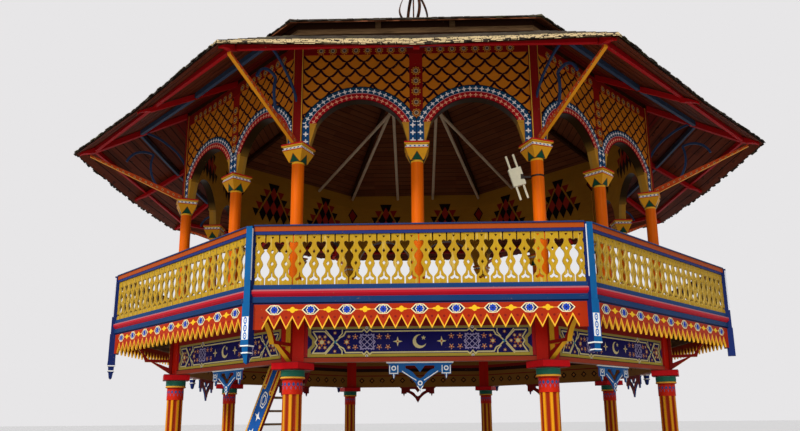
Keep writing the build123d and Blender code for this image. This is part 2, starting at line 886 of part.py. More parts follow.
def tube_lamp():
    """Two tubes through a ballast box, on an arm from a clamp round the column."""
    tube = Pos(0, 0, -lamp_tube_length / 2) * extrude(Circle(lamp_tube_width / 2), lamp_tube_length)
    box = Box(lamp_box_width, lamp_box_depth, lamp_box_height)
    tubes = [Pos(side * lamp_tube_spacing / 2, 0, 0) * tube for side in (-1, 1)]
    head = Rot(0, -lamp_tilt, 0) * (box + tubes[0] + tubes[1])
    reach = upper_column_width / 2 + lamp_clamp
    away = reach + lamp_arm + lamp_box_width / 2
    ring = extrude(Circle(reach) - Circle(upper_column_width / 2 + fit_gap), lamp_arm_width / 2, both=True)
    arm = Pos(-(reach + away) / 2, 0, 0) * Box(away - reach + lamp_clamp, lamp_arm_width, lamp_arm_width)
    shape = Pos(-away, 0, 0) * head + arm + ring
    return Rot(0, 0, -half_turn) * shape


# Stair

stair_outer = stair_apothem
stair_inner = stair_apothem - stair_width


def stair_band(depth):
    """The sloping strip that a string fills, cut off at the ground and at the floor."""
    tall = depth * hypot(1, stair_slope)
    far = floor_level + 2000
    start = (stair_foot - 1000 / stair_slope, -1000)
    end = (stair_foot + far / stair_slope, far)
    band = polygon([(start[0], start[1] - tall / 2), (end[0], end[1] - tall / 2),
                    (end[0], end[1] + tall / 2), (start[0], start[1] + tall / 2)])
    window = Pos(hatch_end - 1 - 2000, floor_level / 2) * Rectangle(4000, floor_level)
    return band & window


def stair_strings():
    pieces = [plate(stair_band(string_depth), stair_outer - string_thickness, stair_outer)]
    pieces.append(plate(stair_band(far_string_depth), stair_inner, stair_inner + string_thickness))
    return [at_side(piece, stair_side) for piece in pieces]


def stair_treads():
    rise = floor_level / riser_count
    pieces = []
    for step in range(1, riser_count):
        top = step * rise
        middle = stair_foot + top / stair_slope
        pieces.append(bar([(stair_inner + string_thickness, top - tread_thickness),
                           (stair_outer - string_thickness, top - tread_thickness),
                           (stair_outer - string_thickness, top), (stair_inner + string_thickness, top)],
                          middle - tread_depth / 2, middle + tread_depth / 2))
    return [at_side(piece, stair_side) for piece in pieces]


def arch_trim():
    """Raised band round both arches of a side, with strips down the feet beside and between them."""
    spring = arch_half - corbel_reach
    rise = arch_height - corbel_height
    radius = (spring ** 2 + rise ** 2) / (2 * rise)
    centre = Pos(0, arch_height - radius)
    above = Pos(0, corbel_height + wall_height / 2) * Rectangle(2 * wall_end, wall_height)
    band = (centre * Circle(radius + trim_width) - centre * Circle(radius)) & above
    band += [Pos(side * (arch_half + foot_half / 2), corbel_height / 2) * Rectangle(foot_half, corbel_height)
             for side in (-1, 1)]
    left, right = over_arches(band)
    field = Pos(0, wall_base + wall_height / 2) * Rectangle(2 * wall_end - 2, wall_height)
    return plate((left + right) & field, wall_outer, wall_outer + trim_proud)


save("column_plinths", round_corners(column_plinth()))
save("lower_columns", round_corners(fluted_column()))
save("column_collars", round_corners(column_collar()))
save("column_abaci", round_corners(column_abacus()))
save("beam_posts", round_corners(corner_post(beam_inner, beam_outer + beam_post_proud, beam_post_reach - 1,
                                             beam_base, beam_top)))
save("frieze_beams", round_sides(frieze_beam()))
save("beam_pendants", round_sides(beam_pendant()))
save("corner_brackets", round_corners(corner_bracket()))
save("floor_joists", floor_joists())
save("floor_boards", floor_boards())
save("rim_joists", round_sides(rim_joist()))
save("fascia_boards", round_sides(fascia_board()))
save("balcony_mouldings", round_sides(balcony_moulding()))
for side, name in enumerate(side_names):
    save(f"balustrade_{name}", [at_side(balustrade(), side)])
lost = [0, broken_drop, plain_drop, 0, 0, 0, 0, 0]
save("railing_posts", [at_corner(railing_post(drop), corner) for corner, drop in enumerate(lost)])
save("upper_corner_columns", round_corners(upper_column(column_radius)))
save("upper_mid_columns", round_sides(upper_column(column_apothem)))
save("upper_capitals", round_corners(upper_capital(column_radius))
     + round_sides(upper_capital(column_apothem)))
for side, name in enumerate(side_names):
    save(f"arch_panel_{name}", [at_side(arch_panel(), side)])
save("wall_corner_posts", round_corners(corner_post(wall_inner, wall_outer + wall_post_proud,
                                                    wall_post_reach - 1, wall_base, wall_top)))
save("rosette_boards", round_sides(rosette_board()))
save("wall_plates", round_sides(wall_plate()))
save("skirt_roof", round_sides(skirt_roof()))
save("hip_rafters", round_corners(hip_rafter()))
save("mid_rafters", round_sides(mid_rafter()))
save("eave_purlins", round_sides(purlin(eave_purlin_in)))
save("mid_purlins", round_sides(purlin(mid_purlin_in)))
save("eave_struts", round_corners(eave_strut()))
save("eave_scrolls", round_corners(eave_scroll()))
save("upper_roof", round_sides(upper_roof()))
save("roof_boss", [roof_boss()])
save("upper_rafters", round_corners(upper_rafter()))
save("hub_frame", [hub_frame()])
save("ceiling_poles", ceiling_poles())
save("finial", [finial()])
save("step_boards", round_sides(step_board()))
save("eave_blocks", [piece for block in eave_blocks() for piece in round_sides(block)])
save("stair_strings", stair_strings())
save("stair_treads", stair_treads())
save("arch_trims", round_sides(arch_trim()))
save("tube_lamp", [at_corner(Pos(0, -column_radius, floor_level + lamp_height) * tube_lamp(), 1)])
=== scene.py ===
import random
from math import acos, atan2, cos, pi, radians, sin, sqrt, tan
import bmesh
import bpy
from mathutils import Matrix, Vector


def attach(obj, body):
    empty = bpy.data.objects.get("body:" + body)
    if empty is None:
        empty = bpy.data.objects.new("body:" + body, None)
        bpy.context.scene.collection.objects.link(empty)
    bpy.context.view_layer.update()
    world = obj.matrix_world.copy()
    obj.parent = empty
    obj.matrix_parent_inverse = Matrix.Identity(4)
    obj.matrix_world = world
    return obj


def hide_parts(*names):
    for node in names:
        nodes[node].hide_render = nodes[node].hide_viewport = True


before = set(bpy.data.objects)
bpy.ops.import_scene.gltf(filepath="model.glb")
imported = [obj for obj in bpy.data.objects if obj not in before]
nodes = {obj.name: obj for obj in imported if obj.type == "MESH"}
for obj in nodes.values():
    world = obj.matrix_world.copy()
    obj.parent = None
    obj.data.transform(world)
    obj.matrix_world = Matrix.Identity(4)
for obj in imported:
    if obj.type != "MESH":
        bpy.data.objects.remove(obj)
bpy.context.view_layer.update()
sideNames = ["front", "front_right", "right", "back_right", "back", "back_left", "left", "front_left"]
flare = tan(radians(22.5))  # half a side's length, per metre of apothem
columnLine = 4.99  # apothem of the columns and walls, metres
columnRadius = columnLine / cos(radians(22.5))
print("frame loaded:", len(nodes), "nodes")


def added(name, data):  # a new object in the scene
    made = bpy.data.objects.new(name, data)
    bpy.context.scene.collection.objects.link(made)
    return made


# Camera at the photograph's place, with the frame shifted a little
cameraSet = {"place": (-0.083, -16.112, 1.6), "yaw": -0.0204, "pitch": 0.2163, "roll": -0.0081,
             "focalPixels": 680.14, "width": 800, "shift": 0.0638}


def placeCamera(s):
    data = bpy.data.cameras.new("camera")
    data.lens = data.sensor_width * s["focalPixels"] / s["width"]
    data.shift_y, data.clip_end = s["shift"], 300
    camera = added("camera", data)
    camera.matrix_world = Matrix.Translation(s["place"])
    for angle, axis in ((-s["yaw"], "Z"), (pi / 2 + s["pitch"], "X"), (s["roll"], "Z")):
        camera.matrix_world = camera.matrix_world @ Matrix.Rotation(angle, 4, axis)
    bpy.context.scene.camera = camera


placeCamera(cameraSet)
bpy.context.scene.view_settings.view_transform = "Standard"
print("camera placed")


# Shader maths
def acts(operation, reflected=False):  # an operator that adds a Math node
    def act(self, other):
        return self.owner.maths(operation, *((other, self) if reflected else (self, other)))
    return act


class Wire:  # one output socket, which the operators take further
    __add__, __radd__ = acts("ADD"), acts("ADD", True)
    __sub__, __rsub__ = acts("SUBTRACT"), acts("SUBTRACT", True)
    __mul__, __rmul__ = acts("MULTIPLY"), acts("MULTIPLY", True)
    __truediv__, __rtruediv__ = acts("DIVIDE"), acts("DIVIDE", True)
    __lt__, __gt__ = acts("LESS_THAN"), acts("GREATER_THAN")

    def __init__(self, owner, socket):
        self.owner, self.socket = owner, socket

    def __abs__(self):
        return self.owner.maths("ABSOLUTE", self)


def tone(colour):  # linear values of a paint colour given as its hex code
    if not isinstance(colour, str):
        return colour
    parts = [int(colour[i:i + 2], 16) / 255 for i in (0, 2, 4)]
    return tuple(v / 12.92 if v < 0.04045 else ((v + 0.055) / 1.055) ** 2.4 for v in parts) + (1,)


class Nodes:  # the node tree of a material or of the sky
    def __init__(self, owner):
        owner.use_nodes = True
        self.tree = owner.node_tree
        self.tree.nodes.clear()

    def node(self, kind, settings, values, output=0):
        made = self.tree.nodes.new(kind)
        for key, value in settings.items():
            if key == "stops":
                ramp = made.color_ramp.elements
                while len(ramp) < len(value):
                    ramp.new(0.5)
                for stop, (at, colour) in zip(ramp, value):
                    stop.position, stop.color = at, tone(colour)
            else:
                setattr(made, key, value)
        for key, value in values.items():
            self.feed(made.inputs[key], value)
        return Wire(self, made.outputs[output]) if made.outputs else None

    def feed(self, socket, value):
        if isinstance(value, Wire):
            self.tree.links.new(value.socket, socket)
        else:
            socket.default_value = tone(value)

    def maths(self, operation, *values):
        return self.node("ShaderNodeMath", {"operation": operation}, dict(enumerate(values)))


# Weathering that every paint has
weather = {"patches": 1.7, "specks": 38, "dust": "7d6a55", "dustFrom": 0.42, "shadow": (0.02, 0.015, 0.01, 1),
           "chipFrom": 0.665, "deep": 0.004}


class Paint(Nodes):  # one material
    def __init__(self, name):
        self.material = bpy.data.materials.new(name)
        super().__init__(self.material)
        shader = self.node("ShaderNodeBsdfPrincipled", {}, {})
        self.shader = shader.socket.node
        self.node("ShaderNodeOutputMaterial", {}, {0: shader})
        self.place = self.node("ShaderNodeTexCoord", {}, {}, "Object")
        self.normal = Wire(self, self.place.socket.node.outputs["Normal"])
        self.x, self.y, self.z = self.split(self.place)
        self.frames = {}

    def split(self, vector):
        apart = self.node("ShaderNodeSeparateXYZ", {}, {0: vector})
        return [Wire(self, socket) for socket in apart.socket.node.outputs]

    def joined(self, x, y, z):
        return self.node("ShaderNodeCombineXYZ", {}, {0: x, 1: y, 2: z})

    def noise(self, scale, detail=3.0, roughness=0.55, vector=None):
        return self.node("ShaderNodeTexNoise", {}, {"Vector": vector or self.place, "Scale": scale,
                                                    "Detail": detail, "Roughness": roughness})

    def streaks(self, stretch, detail, roughness=0.55):  # noise stretched along, out and up
        along, out = self.around()
        return self.noise(1.0, detail, roughness,
                          self.joined(along * stretch[0], out * stretch[1], self.z * stretch[2]))

    def ramp(self, value, *stops):  # stops as (place, colour)
        return self.node("ShaderNodeValToRGB", {"stops": stops}, {0: value})

    def blend(self, amount, under, over):  # colours: under where amount is 0, over where it is 1
        return self.node("ShaderNodeMix", {"data_type": "RGBA"}, {0: amount, 6: under, 7: over}, 2)

    def layers(self, under, *pairs):  # colours painted over each other, as (mask, colour)
        for mask, colour in pairs:
            under = self.blend(mask, under, colour)
        return under

    def span(self, value, low, high):  # 1 where low < value < high
        return (value > low) * (value < high)

    def middle(self, value, pitch):  # distance from the middle of each pitch
        return (self.maths("FRACT", value / pitch) - 0.5) * pitch

    def around(self, start=0.0, at=0.0):  # folds the plan into one side: along, out
        if start not in self.frames:
            step = pi / 4
            angle = self.maths("ARCTAN2", self.x, 0 - self.y)
            turn = self.maths("ROUND", (angle - start) / step) * step + start
            radius = self.maths("SQRT", self.x * self.x + self.y * self.y)
            off = angle - turn
            self.frames[start] = (radius * self.maths("SINE", off), radius * self.maths("COSINE", off), turn)
        along, out, turn = self.frames[start]
        return along, out - at if at else out

    def faces(self, start=0.0):  # the surface's direction on that side: along, out, up
        self.around(start)
        turn = self.frames[start][2]
        nx, ny, nz = self.split(self.normal)
        s, c = self.maths("SINE", turn), self.maths("COSINE", turn)
        return nx * c + ny * s, nx * s - ny * c, nz

    def cross(self, x, z, reach, half):  # a plus whose arms narrow outwards
        x, z = abs(x), abs(z)
        arm = self.maths("MINIMUM", x, z) < half + (reach - x - z) * 0.25
        return (self.maths("MAXIMUM", x, z) < reach) * arm

    def disc(self, x, z, size):
        return (x * x + z * z) < size * size

    def rhomb(self, x, z, wide, tall):  # half width and half height
        return (abs(x) / wide + abs(z) / tall) < 1

    def done(self, colour, grain=(4, 4, 40), rough=0.50, gloss=0.02, dust=0.04, chips=0.05, bump=0.25,
             under="8f6f4c"):  # weathering over any paint: dust, grain, chips, bump
        w, shader = weather, self.shader.inputs
        broad = self.noise(w["patches"], 4)
        fine = self.streaks(grain, 4, 0.6)
        specks = self.noise(w["specks"], 2, 0.7)
        dusty = self.maths("SMOOTH_MAX", (broad - w["dustFrom"]) * 2.2, 0, 0.1) * dust
        shade = self.blend(dusty, colour, w["dust"])
        shade = self.blend((fine - 0.5) * 0.6 + 0.08, shade, self.blend(0.5, shade, w["shadow"]))
        worn = (fine * 0.55 + specks * 0.45 > w["chipFrom"] - chips * 0.4) * (broad > 0.5)
        worn = worn * (1 if chips else 0)
        self.feed(shader["Base Color"], self.blend(worn * 0.75, shade, under))
        self.feed(shader["Roughness"], (fine - 0.5) * 0.25 + worn * 0.3 + (rough + dusty * 0.3))
        height = fine * 0.7 + specks * 0.15 - worn * 0.5
        surface = self.node("ShaderNodeBump", {}, {"Strength": bump, "Distance": w["deep"], "Height": height})
        self.feed(shader["Normal"], surface)
        for key, value in (("Coat Weight", gloss), ("Coat Roughness", 0.25), ("Specular IOR Level", 0.05)):
            shader[key].default_value = value
        return self.material


lightSet = {"suns": [(2.5, 9, (56, 0, -34)), (0.9, 40, (84, 0, -6))],  # strength, angle, turn
            "skyStrength": 0.60, "skyColour": (0.95, 0.96, 1.0, 1), "backdrop": (0.80, 0.79, 0.80, 1)}


def placeLights(s):
    for strength, angle, turn in s["suns"]:
        data = bpy.data.lights.new("sun", "SUN")
        data.energy, data.angle = strength, radians(angle)
        added("sun", data).rotation_euler = [radians(v) for v in turn]
    world = bpy.data.worlds.new("sky")
    bpy.context.scene.world = world
    sky = Nodes(world)
    light = sky.node("ShaderNodeBackground", {}, {"Color": s["skyColour"], "Strength": s["skyStrength"]})
    seen = sky.node("ShaderNodeBackground", {}, {"Color": s["backdrop"]})
    ray = sky.node("ShaderNodeLightPath", {}, {}).socket.node.outputs
    straight, glossy, through = [Wire(sky, ray["Is " + kind + " Ray"])
                                 for kind in ("Camera", "Glossy", "Transmission")]
    shows = sky.maths("MAXIMUM", sky.maths("MAXIMUM", straight, glossy), through)     # the plain backdrop
    mix = sky.node("ShaderNodeMixShader", {}, {0: shows, 1: light, 2: seen})
    sky.node("ShaderNodeOutputWorld", {}, {0: mix})


placeLights(lightSet)
print("lights placed")


def dress(material, *names):  # a better material on CAD nodes, whose shape stays
    for name in names:
        slots = nodes[name].material_slots
        if slots:
            for slot in slots:
                slot.material = material
        else:
            nodes[name].data.materials.append(material)


# Mesh helpers; everything is modelled on the front side, then copied round
weld = 0.00001  # points nearer than this are one, metres


def wholeOf(bm):
    return bm.verts[:] + bm.edges[:] + bm.faces[:]


def vertsOf(geom):
    return [g for g in geom if isinstance(g, bmesh.types.BMVert)]


def meshOf(bm, name):
    mesh = bpy.data.meshes.new(name)
    bm.to_mesh(mesh)
    bm.free()
    return mesh


def piece(bm, name, material, stands=()):  # a finished piece, and the nodes it stands for
    bmesh.ops.remove_doubles(bm, verts=bm.verts, dist=weld)
    mesh = meshOf(bm, name)
    mesh.materials.append(material)
    made = added(name, mesh)
    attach(made, "root")
    if stands:
        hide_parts(*stands)


def turnRound(bm, verts, degrees):
    bmesh.ops.rotate(bm, verts=verts, cent=(0, 0, 0), matrix=Matrix.Rotation(radians(degrees), 3, "Z"))


allSides = [45 * k for k in range(1, 8)]


def copyRound(bm, turns=allSides):  # turns in degrees; the first model stays where it is
    bmesh.ops.recalc_face_normals(bm, faces=bm.faces)
    first = wholeOf(bm)
    for turn in turns:
        turnRound(bm, vertsOf(bmesh.ops.duplicate(bm, geom=first)["geom"]), turn)


def push(bm, faces, vector):  # thickens flat faces into closed forms
    made = bmesh.ops.extrude_face_region(bm, geom=faces)["geom"]
    bmesh.ops.translate(bm, vec=vector, verts=vertsOf(made))


def cutPast(bm, spot, way):  # clears what lies past a plane and closes the cut
    bmesh.ops.bisect_plane(bm, geom=wholeOf(bm), dist=weld, plane_co=spot, plane_no=way, clear_outer=True)
    bmesh.ops.holes_fill(bm, edges=[e for e in bm.edges if e.is_boundary], sides=0)


def mirrored(half):  # a closed outline from its half, about the upright axis
    return [(-a, b) for a, b in half] + [(a, b) for a, b in reversed(half) if a]


def placed(points, x, z, share=1):  # moved to a place, and scaled
    return [(x + a * share, z + b * share) for a, b in points]


def outlined(bm, loops, out):  # one face set from an outline and the holes in it
    edges = []
    for loop in loops:
        verts = [bm.verts.new((a, -out, b)) for a, b in loop]
        edges += [bm.edges.new((verts[i - 1], verts[i])) for i in range(len(verts))]
    return [g for g in bmesh.ops.triangle_fill(bm, edges=edges, use_beauty=True)["geom"]
            if isinstance(g, bmesh.types.BMFace)]


def mitredBar(bm, profile, reach=0.0):  # profile as (out, z); ends on the side's mitres
    start = [bm.verts.new((-(out * flare - reach), -out, z)) for out, z in profile]
    made = bmesh.ops.extrude_face_region(bm, geom=[bm.faces.new(start)])["geom"]
    for v in vertsOf(made):
        v.co.x = -v.co.x


# Balustrades: sawn boards between a moulded cap and a sill, on all eight sides
rails = {"line": 6.125, "floor": 3.46, "top": 4.46, "boards": 24, "thick": 0.030,
         "foot": 3.53, "head": 4.31, "capWidth": 0.13, "capRise": 0.05, "lip": 0.018, "nosing": 0.022,
         "railHalf": 0.038, "postClear": 0.060, "drawnPitch": 0.2114, "drawnHeight": 0.780}
boardHalf = [(0, 95), (107, 95), (125, 82), (156, 54), (187, 39), (217, 34), (248, 40), (286, 64), (324, 76),
             (363, 63), (401, 41), (435, 35), (470, 46), (516, 82), (531, 90), (562, 68), (600, 42),
             (638, 30), (661, 33), (675, 58), (664, 84), (653, 95), (780, 95)]  # height, half width, mm
boardHoles = [[(0, 712), (26, 750)], [(0, 552), (22, 516), (0, 482)], [(0, 362), (24, 328), (0, 292)],
              [(0, 206), (9, 172), (10, 134), (34, 110), (58, 104), (64, 82), (46, 64), (22, 70), (0, 90)]]


def makeBalustrades(s, material):
    bm = bmesh.new()
    pitch = 2 * s["line"] * flare / s["boards"]
    scale = (s["head"] - s["foot"]) / s["drawnHeight"]
    side = [(half * pitch / s["drawnPitch"], up) for up, half in boardHalf]
    loops = [[(a * 0.001, s["foot"] + b * 0.001 * scale) for a, b in mirrored(half)]
             for half in [side] + boardHoles]
    for k in range(s["boards"]):
        board = [placed(loop, (k + 0.5 - s["boards"] / 2) * pitch, 0) for loop in loops]
        push(bm, outlined(bm, board, s["line"] - s["thick"] / 2), (0, -s["thick"], 0))
    for sign in (-1, 1):  # the end boards stop at the corner posts
        cutPast(bm, (sign * (s["line"] * flare - s["postClear"]), 0, 0), (sign, 0, 0))
    half, lip, wide = s["railHalf"], s["lip"], s["capWidth"] / 2
    rise, capFoot = s["head"] + s["capRise"], s["top"] - s["nosing"]
    cap = [(half, s["head"]), (half, rise), (wide - lip, rise), (wide - lip, capFoot), (wide, capFoot),
           (wide - lip / 3, s["top"])]
    for profile in (cap, [(half, s["floor"]), (half, s["foot"])]):
        mitredBar(bm, placed(mirrored(profile), s["line"], 0), reach=s["postClear"])
    copyRound(bm)
    piece(bm, "balustrades", material, ["balustrade_" + name for name in sideNames])


# edge is a painted highlight on the boards' cut edges and sides
railLook = {"board": (3.531, 4.309), "cap": ((4.309, "1a2a66"), (4.359, "a04208"), (4.437, "24305a")),
             "mustard": ("a07a12", "bc941a"), "sill": "0a3464", "edge": "e2cd80", "drips": "e2d08a"}


def balustradePaint(s):
    p = Paint("mustard rail paint")
    pitch = 2 * rails["line"] * flare / rails["boards"]
    nx, no, nz = p.faces()
    each = p.noise(5.3, 0, vector=p.joined(p.maths("FLOOR", p.around()[0] / pitch), 0, 0))
    board = p.blend(each, *s["mustard"])
    # painted highlight: the boards' cut edges and sides lighter
    board = p.blend((abs(nx) + abs(nz) > 0.4) * 0.35, board, s["edge"])
    board = p.blend((p.streaks((30, 1, 3), 3) > 0.62) * 0.25, board, s["drips"])
    cap = [(p.z > low, colour) for low, colour in s["cap"]]
    colour = p.layers(s["sill"], *cap, (p.span(p.z, *s["board"]), board))
    return p.done(colour, grain=(30, 30, 5), under="8c6a33")


makeBalustrades(rails, balustradePaint(railLook))
print("balustrades made")

# Roofs: sheathing boards and split shingles over them, slope by slope
skirt = {"inner": 5.072, "outer": 7.155, "boardsTo": 7.085, "high": 8.25, "slope": 0.64237, "sag": 0.0145,
         "reference": 5.07, "bend": 6.80, "droop": 0.045, "boardWidth": 0.145, "boardThick": 0.022,
         "rows": 17, "shingleWidth": 0.105, "seed": 11, "lift": 0.026}
crown = dict(skirt, inner=0.134, outer=5.40, boardsTo=5.335, high=8.56, slope=0.60130, sag=0.0,
             reference=5.0695, bend=5.0, droop=0.0, boardWidth=0.150, rows=36, shingleWidth=0.115, seed=29)
# Shingles: pairs are for a course, and for the doubled one along the eave
split = {"ragged": ((-0.055, 0.0), (-0.075, -0.020)), "thick": (0.014, 0.010), "lap": (1.30, 0.8),
         "up": (0.010, 0.002), "butt": 0.010, "tilt": (0, 0.007), "gap": (0.03, 0.09),
         "lean": (-0.012, 0.012)}
hipCap = {"section": [(-0.075, 0.0), (0.0, 0.030), (0.075, 0.0), (0.0, 0.012)], "step": 0.22, "long": 0.27,
          "start": 0.992, "butt": 0.028, "head": 0.016, "fold": 0.35}


def underside(s, out, along=None):  # the sheathing's underside, at the hip if no place is given
    hip = out * flare
    along = hip if along is None else min(abs(along), hip)
    droop = s["droop"] * max(out - s["bend"], 0) / (s["outer"] - s["bend"]) * (1 - along / hip)
    sag = (along - s["reference"] * flare) * s["sag"]
    return s["high"] - (out - s["reference"]) * s["slope"] + sag - droop


def makeSheathing(s, name, material, node, gap=0.004):
    bm = bmesh.new()
    draw = random.Random(s["seed"])
    count = round((s["boardsTo"] - s["inner"]) / s["boardWidth"])
    step = (s["boardsTo"] - s["inner"]) / count
    for k in range(count):
        near, far = s["inner"] + k * step + gap, s["inner"] + (k + 1) * step - gap
        drop = draw.uniform(0, 0.003)
        profile = [(near, drop), (far, drop), (far, s["boardThick"]), (near, s["boardThick"])]
        mitredBar(bm, [(out, underside(s, out) + up) for out, up in profile], reach=0.001)
    if s["sag"]:  # lowers what was made straight, from the hips to the middle
        bmesh.ops.bisect_plane(bm, geom=wholeOf(bm), dist=weld, plane_co=(0, 0, 0), plane_no=(1, 0, 0))
        for v in bm.verts:
            v.co.z += underside(s, -v.co.y, v.co.x) - underside(s, -v.co.y)
    copyRound(bm)
    piece(bm, name, material, [node])


def shingleCourse(bm, s, c, draw, row, run):
    eave = row == 0
    low = s["outer"] - max(row - 1, 0) * run
    high = max(low - run * c["lap"][eave], s["inner"])
    count = max(2, round(2 * low * flare / s["shingleWidth"]))
    made = bmesh.ops.create_grid(bm, x_segments=count, y_segments=1, size=0.5)["verts"]
    faces = list(dict.fromkeys(f for v in made for f in v.link_faces))  # in the same order each run
    joints = dict.fromkeys(e for f in faces for e in f.edges if len(e.link_faces) > 1)
    bmesh.ops.split_edges(bm, edges=list(joints))
    for f in faces:
        ragged = draw.uniform(*c["ragged"][eave]) * (1 if row <= 1 else 0.8)
        tilt, gap, lean = [draw.uniform(*c[key]) for key in ("tilt", "gap", "lean")]
        centre = f.calc_center_median().x
        for v in f.verts:
            u = centre + (v.co.x - centre) * (1 - gap)
            bottom = v.co.y < 0
            out = min(low + ragged + lean * (u - centre) * count if bottom else high, s["outer"])
            up = s["lift"] + c["up"][eave] + (tilt + c["butt"] if bottom and not eave else 0)
            v.co = (2 * u * out * flare, -out, underside(s, out, 2 * u * out * flare) + up)
    for f in bmesh.ops.extrude_discrete_faces(bm, faces=faces)["faces"]:
        far = max(-v.co.y for v in f.verts)
        for v in f.verts:  # thick at the butt, thin at the head
            butt = -v.co.y > far - run * 0.5
            v.co.z += c["thick"][eave] * (sqrt(1 + s["slope"] ** 2) if butt else 0.25)


def makeHipCaps(s, c):  # ridge caps over each hip
    bm = bmesh.new()
    turn = 1 / cos(radians(22.5))
    start = s["outer"] * c["start"]
    count = round((s["outer"] - s["inner"]) / c["step"])
    for k in range(count):
        out = start - k * (start - s["inner"]) / count
        end = max(out - c["long"], s["inner"])
        top = [(o, underside(s, o) + s["lift"] + rise) for o, rise in ((out, c["butt"]), (end, c["head"]))]
        fold = s["slope"] * c["fold"]
        rings = [[bm.verts.new((x, -o * turn, z + up - abs(x) * fold)) for x, up in c["section"]]
                 for o, z in top]
        for i in range(len(c["section"])):
            bm.faces.new((rings[0][i - 1], rings[0][i], rings[1][i], rings[1][i - 1]))
        for ring in rings:
            bm.faces.new(ring)
    turnRound(bm, bm.verts, 22.5)
    copyRound(bm)
    return bm


def makeShingles(s, name, material):
    bm = bmesh.new()
    draw = random.Random(s["seed"])
    for row in range(s["rows"] + 1):
        shingleCourse(bm, s, split, draw, row, (s["outer"] - s["inner"]) / s["rows"])
    copyRound(bm)
    caps = meshOf(makeHipCaps(s, hipCap), "hips")
    bm.from_mesh(caps)
    bpy.data.meshes.remove(caps)
    piece(bm, name, material)


# cream is painted sunlight on the split ends near the eave
shingleLook = {"tones": ((0.30, "3c352f"), (0.5, "5d5349"), (0.62, "7d6f5e"), (0.75, "4a3c33")),
               "cream": "cdb486", "moss": "5f5b3a", "eave": (6.60, 7.2), "under": 8.0, "front": 2.3,
               "joint": 0.27}


def shinglePaint(s):
    p = Paint("weathered shingle, painted sun and shade")
    along, out = p.around()
    nx, no, nz = p.faces()
    each = p.noise(3.7, 0, vector=p.joined(p.maths("FLOOR", along / 0.115), p.maths("FLOOR", out / 0.12), 0))
    broad = p.noise(0.8, 3)
    colour = p.ramp(each * 0.6 + broad * 0.3 + p.streaks((60, 4, 0), 4) * 0.15, *s["tones"])
    lit = p.span(out, *s["eave"]) * (p.z < s["under"]) * (p.noise(9, 2) * 0.5 + each * 0.5 > 0.42)
    lit = lit * (p.y < abs(p.x) * -s["front"])  # painted sunlight only along the front
    lit = lit * (abs(p.middle(along + p.z * 0.9, s["joint"])) < 0.127)  # painted shade between the split ends
    butt = (no > 0.75) * (nz < 0.5)  # the ends that face the sun, where sunlight is painted
    # painted sunlight: the lit ends cream; everywhere else darkened towards black as painted shade
    colour = p.blend(butt * lit, p.blend(0.60, colour, (0.012, 0.010, 0.008, 1)), s["cream"])
    colour = p.blend((p.noise(2.4, 5) > 0.60) * 0.4, colour, s["moss"])
    return p.done(colour, grain=(60, 4, 4), rough=0.8, gloss=0, dust=0.1, chips=0, bump=0.5)


ceiling = {"boards": ("431a0c", "7a361c"), "knot": "1d0d08", "wall": (5.07, 5.42), "high": 8.3,
           "red": "6e120f", "pale": "8a5434", "seams": (5.072, 0.1438, 0.063), "seam": "120906"}


def sheathingPaint(s):
    p = Paint("brown ceiling boards")
    along, out = p.around()
    each = p.noise(2.9, 0, vector=p.joined(p.maths("FLOOR", along / 1.3), p.maths("FLOOR", out / 0.14), 3.3))
    first, pitch, half = s["seams"]
    colour = p.layers(p.blend(each, *s["boards"]), ((p.streaks((3, 9, 0), 2) > 0.66) * 0.6, s["knot"]),
                      (p.span(out, *s["wall"]) * (p.z < s["high"]) * 0.8, s["red"]),
                      ((p.z > s["high"]) * (each * 0.8 + 0.2), s["pale"]),
                      ((abs(p.middle(out - first, pitch)) > half) * 0.7, s["seam"]))
    return p.done(colour, grain=(2, 30, 30), rough=0.6, chips=0.04, under="8a6a4a")


carried = {"slope": 0.65730, "sag": 0.05058, "squeeze": 0.062, "depth": 0.05}  # the CAD slope's own figures


def lifted(s, source, material, squeeze=0.0):  # a CAD piece moved up to the visual roof's boards
    bm = bmesh.new()
    bm.from_mesh(nodes[source].data)
    bm.transform(nodes[source].matrix_world)
    for v in bm.verts:
        angle = atan2(v.co.x, -v.co.y)
        off = angle - round(angle / (pi / 4)) * pi / 4
        radius = sqrt(v.co.x ** 2 + v.co.y ** 2)
        along, out = abs(radius * sin(off)), radius * cos(off)
        rise = (out - skirt["reference"]) * s["slope"] - (along - skirt["reference"] * flare) * s["sag"]
        base = skirt["high"] - rise
        if squeeze and v.co.z < base - s["depth"]:
            v.co.z += squeeze * (1 - along / (out * flare))
        v.co.z += underside(skirt, out, along) - base
    piece(bm, "skirt_" + source, material, [source])


boards, shingles = sheathingPaint(ceiling), shinglePaint(shingleLook)
for roof, label, node in ((skirt, "skirt", "skirt_roof"), (crown, "crown", "upper_roof")):
    makeSheathing(roof, label + "_sheathing", boards, node)
    makeShingles(roof, label + "_shingles", shingles)
print("roofs made")


# Paints on the CAD nodes
def plainPaint(name, colour, **how):
    p = Paint(name)
    broad = p.noise(2.3, 3)
    return p.done(p.blend((broad - 0.35) * 0.5, colour, p.blend(0.5, colour, (0.01, 0.01, 0.01, 1))), **how)


def woodPaint(name, light, dark, grain, **how):
    p = Paint(name)
    lines = p.streaks(grain, 5, 0.65)
    colour = p.ramp(lines * 0.7 + p.noise(1.3, 4) * 0.3, (0.3, dark), (0.7, light))
    return p.done(colour, grain=grain, rough=0.65, gloss=0, **how)


def bandPaint(name, base, bands, grain):  # bands as (lowest, highest, colour)
    p = Paint(name)
    masks = [(p.span(p.z, low, high), colour) for low, high, colour in bands]
    return p.done(p.layers(base, *masks), grain=grain)


collarBands = [(0, 2.230, "e9ab38"), (0, 2.203, "a83208"), (2.325, 9, "5f9a86")]
abacusBands = [(0, 2.352, "7a0a10"), (2.447, 9, "8d1a1e")]
# the pale pink band on top of the moulding's lip is a painted highlight
mouldingBands = [(3.262, 9, "07305c"), (3.352, 9, "ac1024"), (3.432, 9, "a86064")]

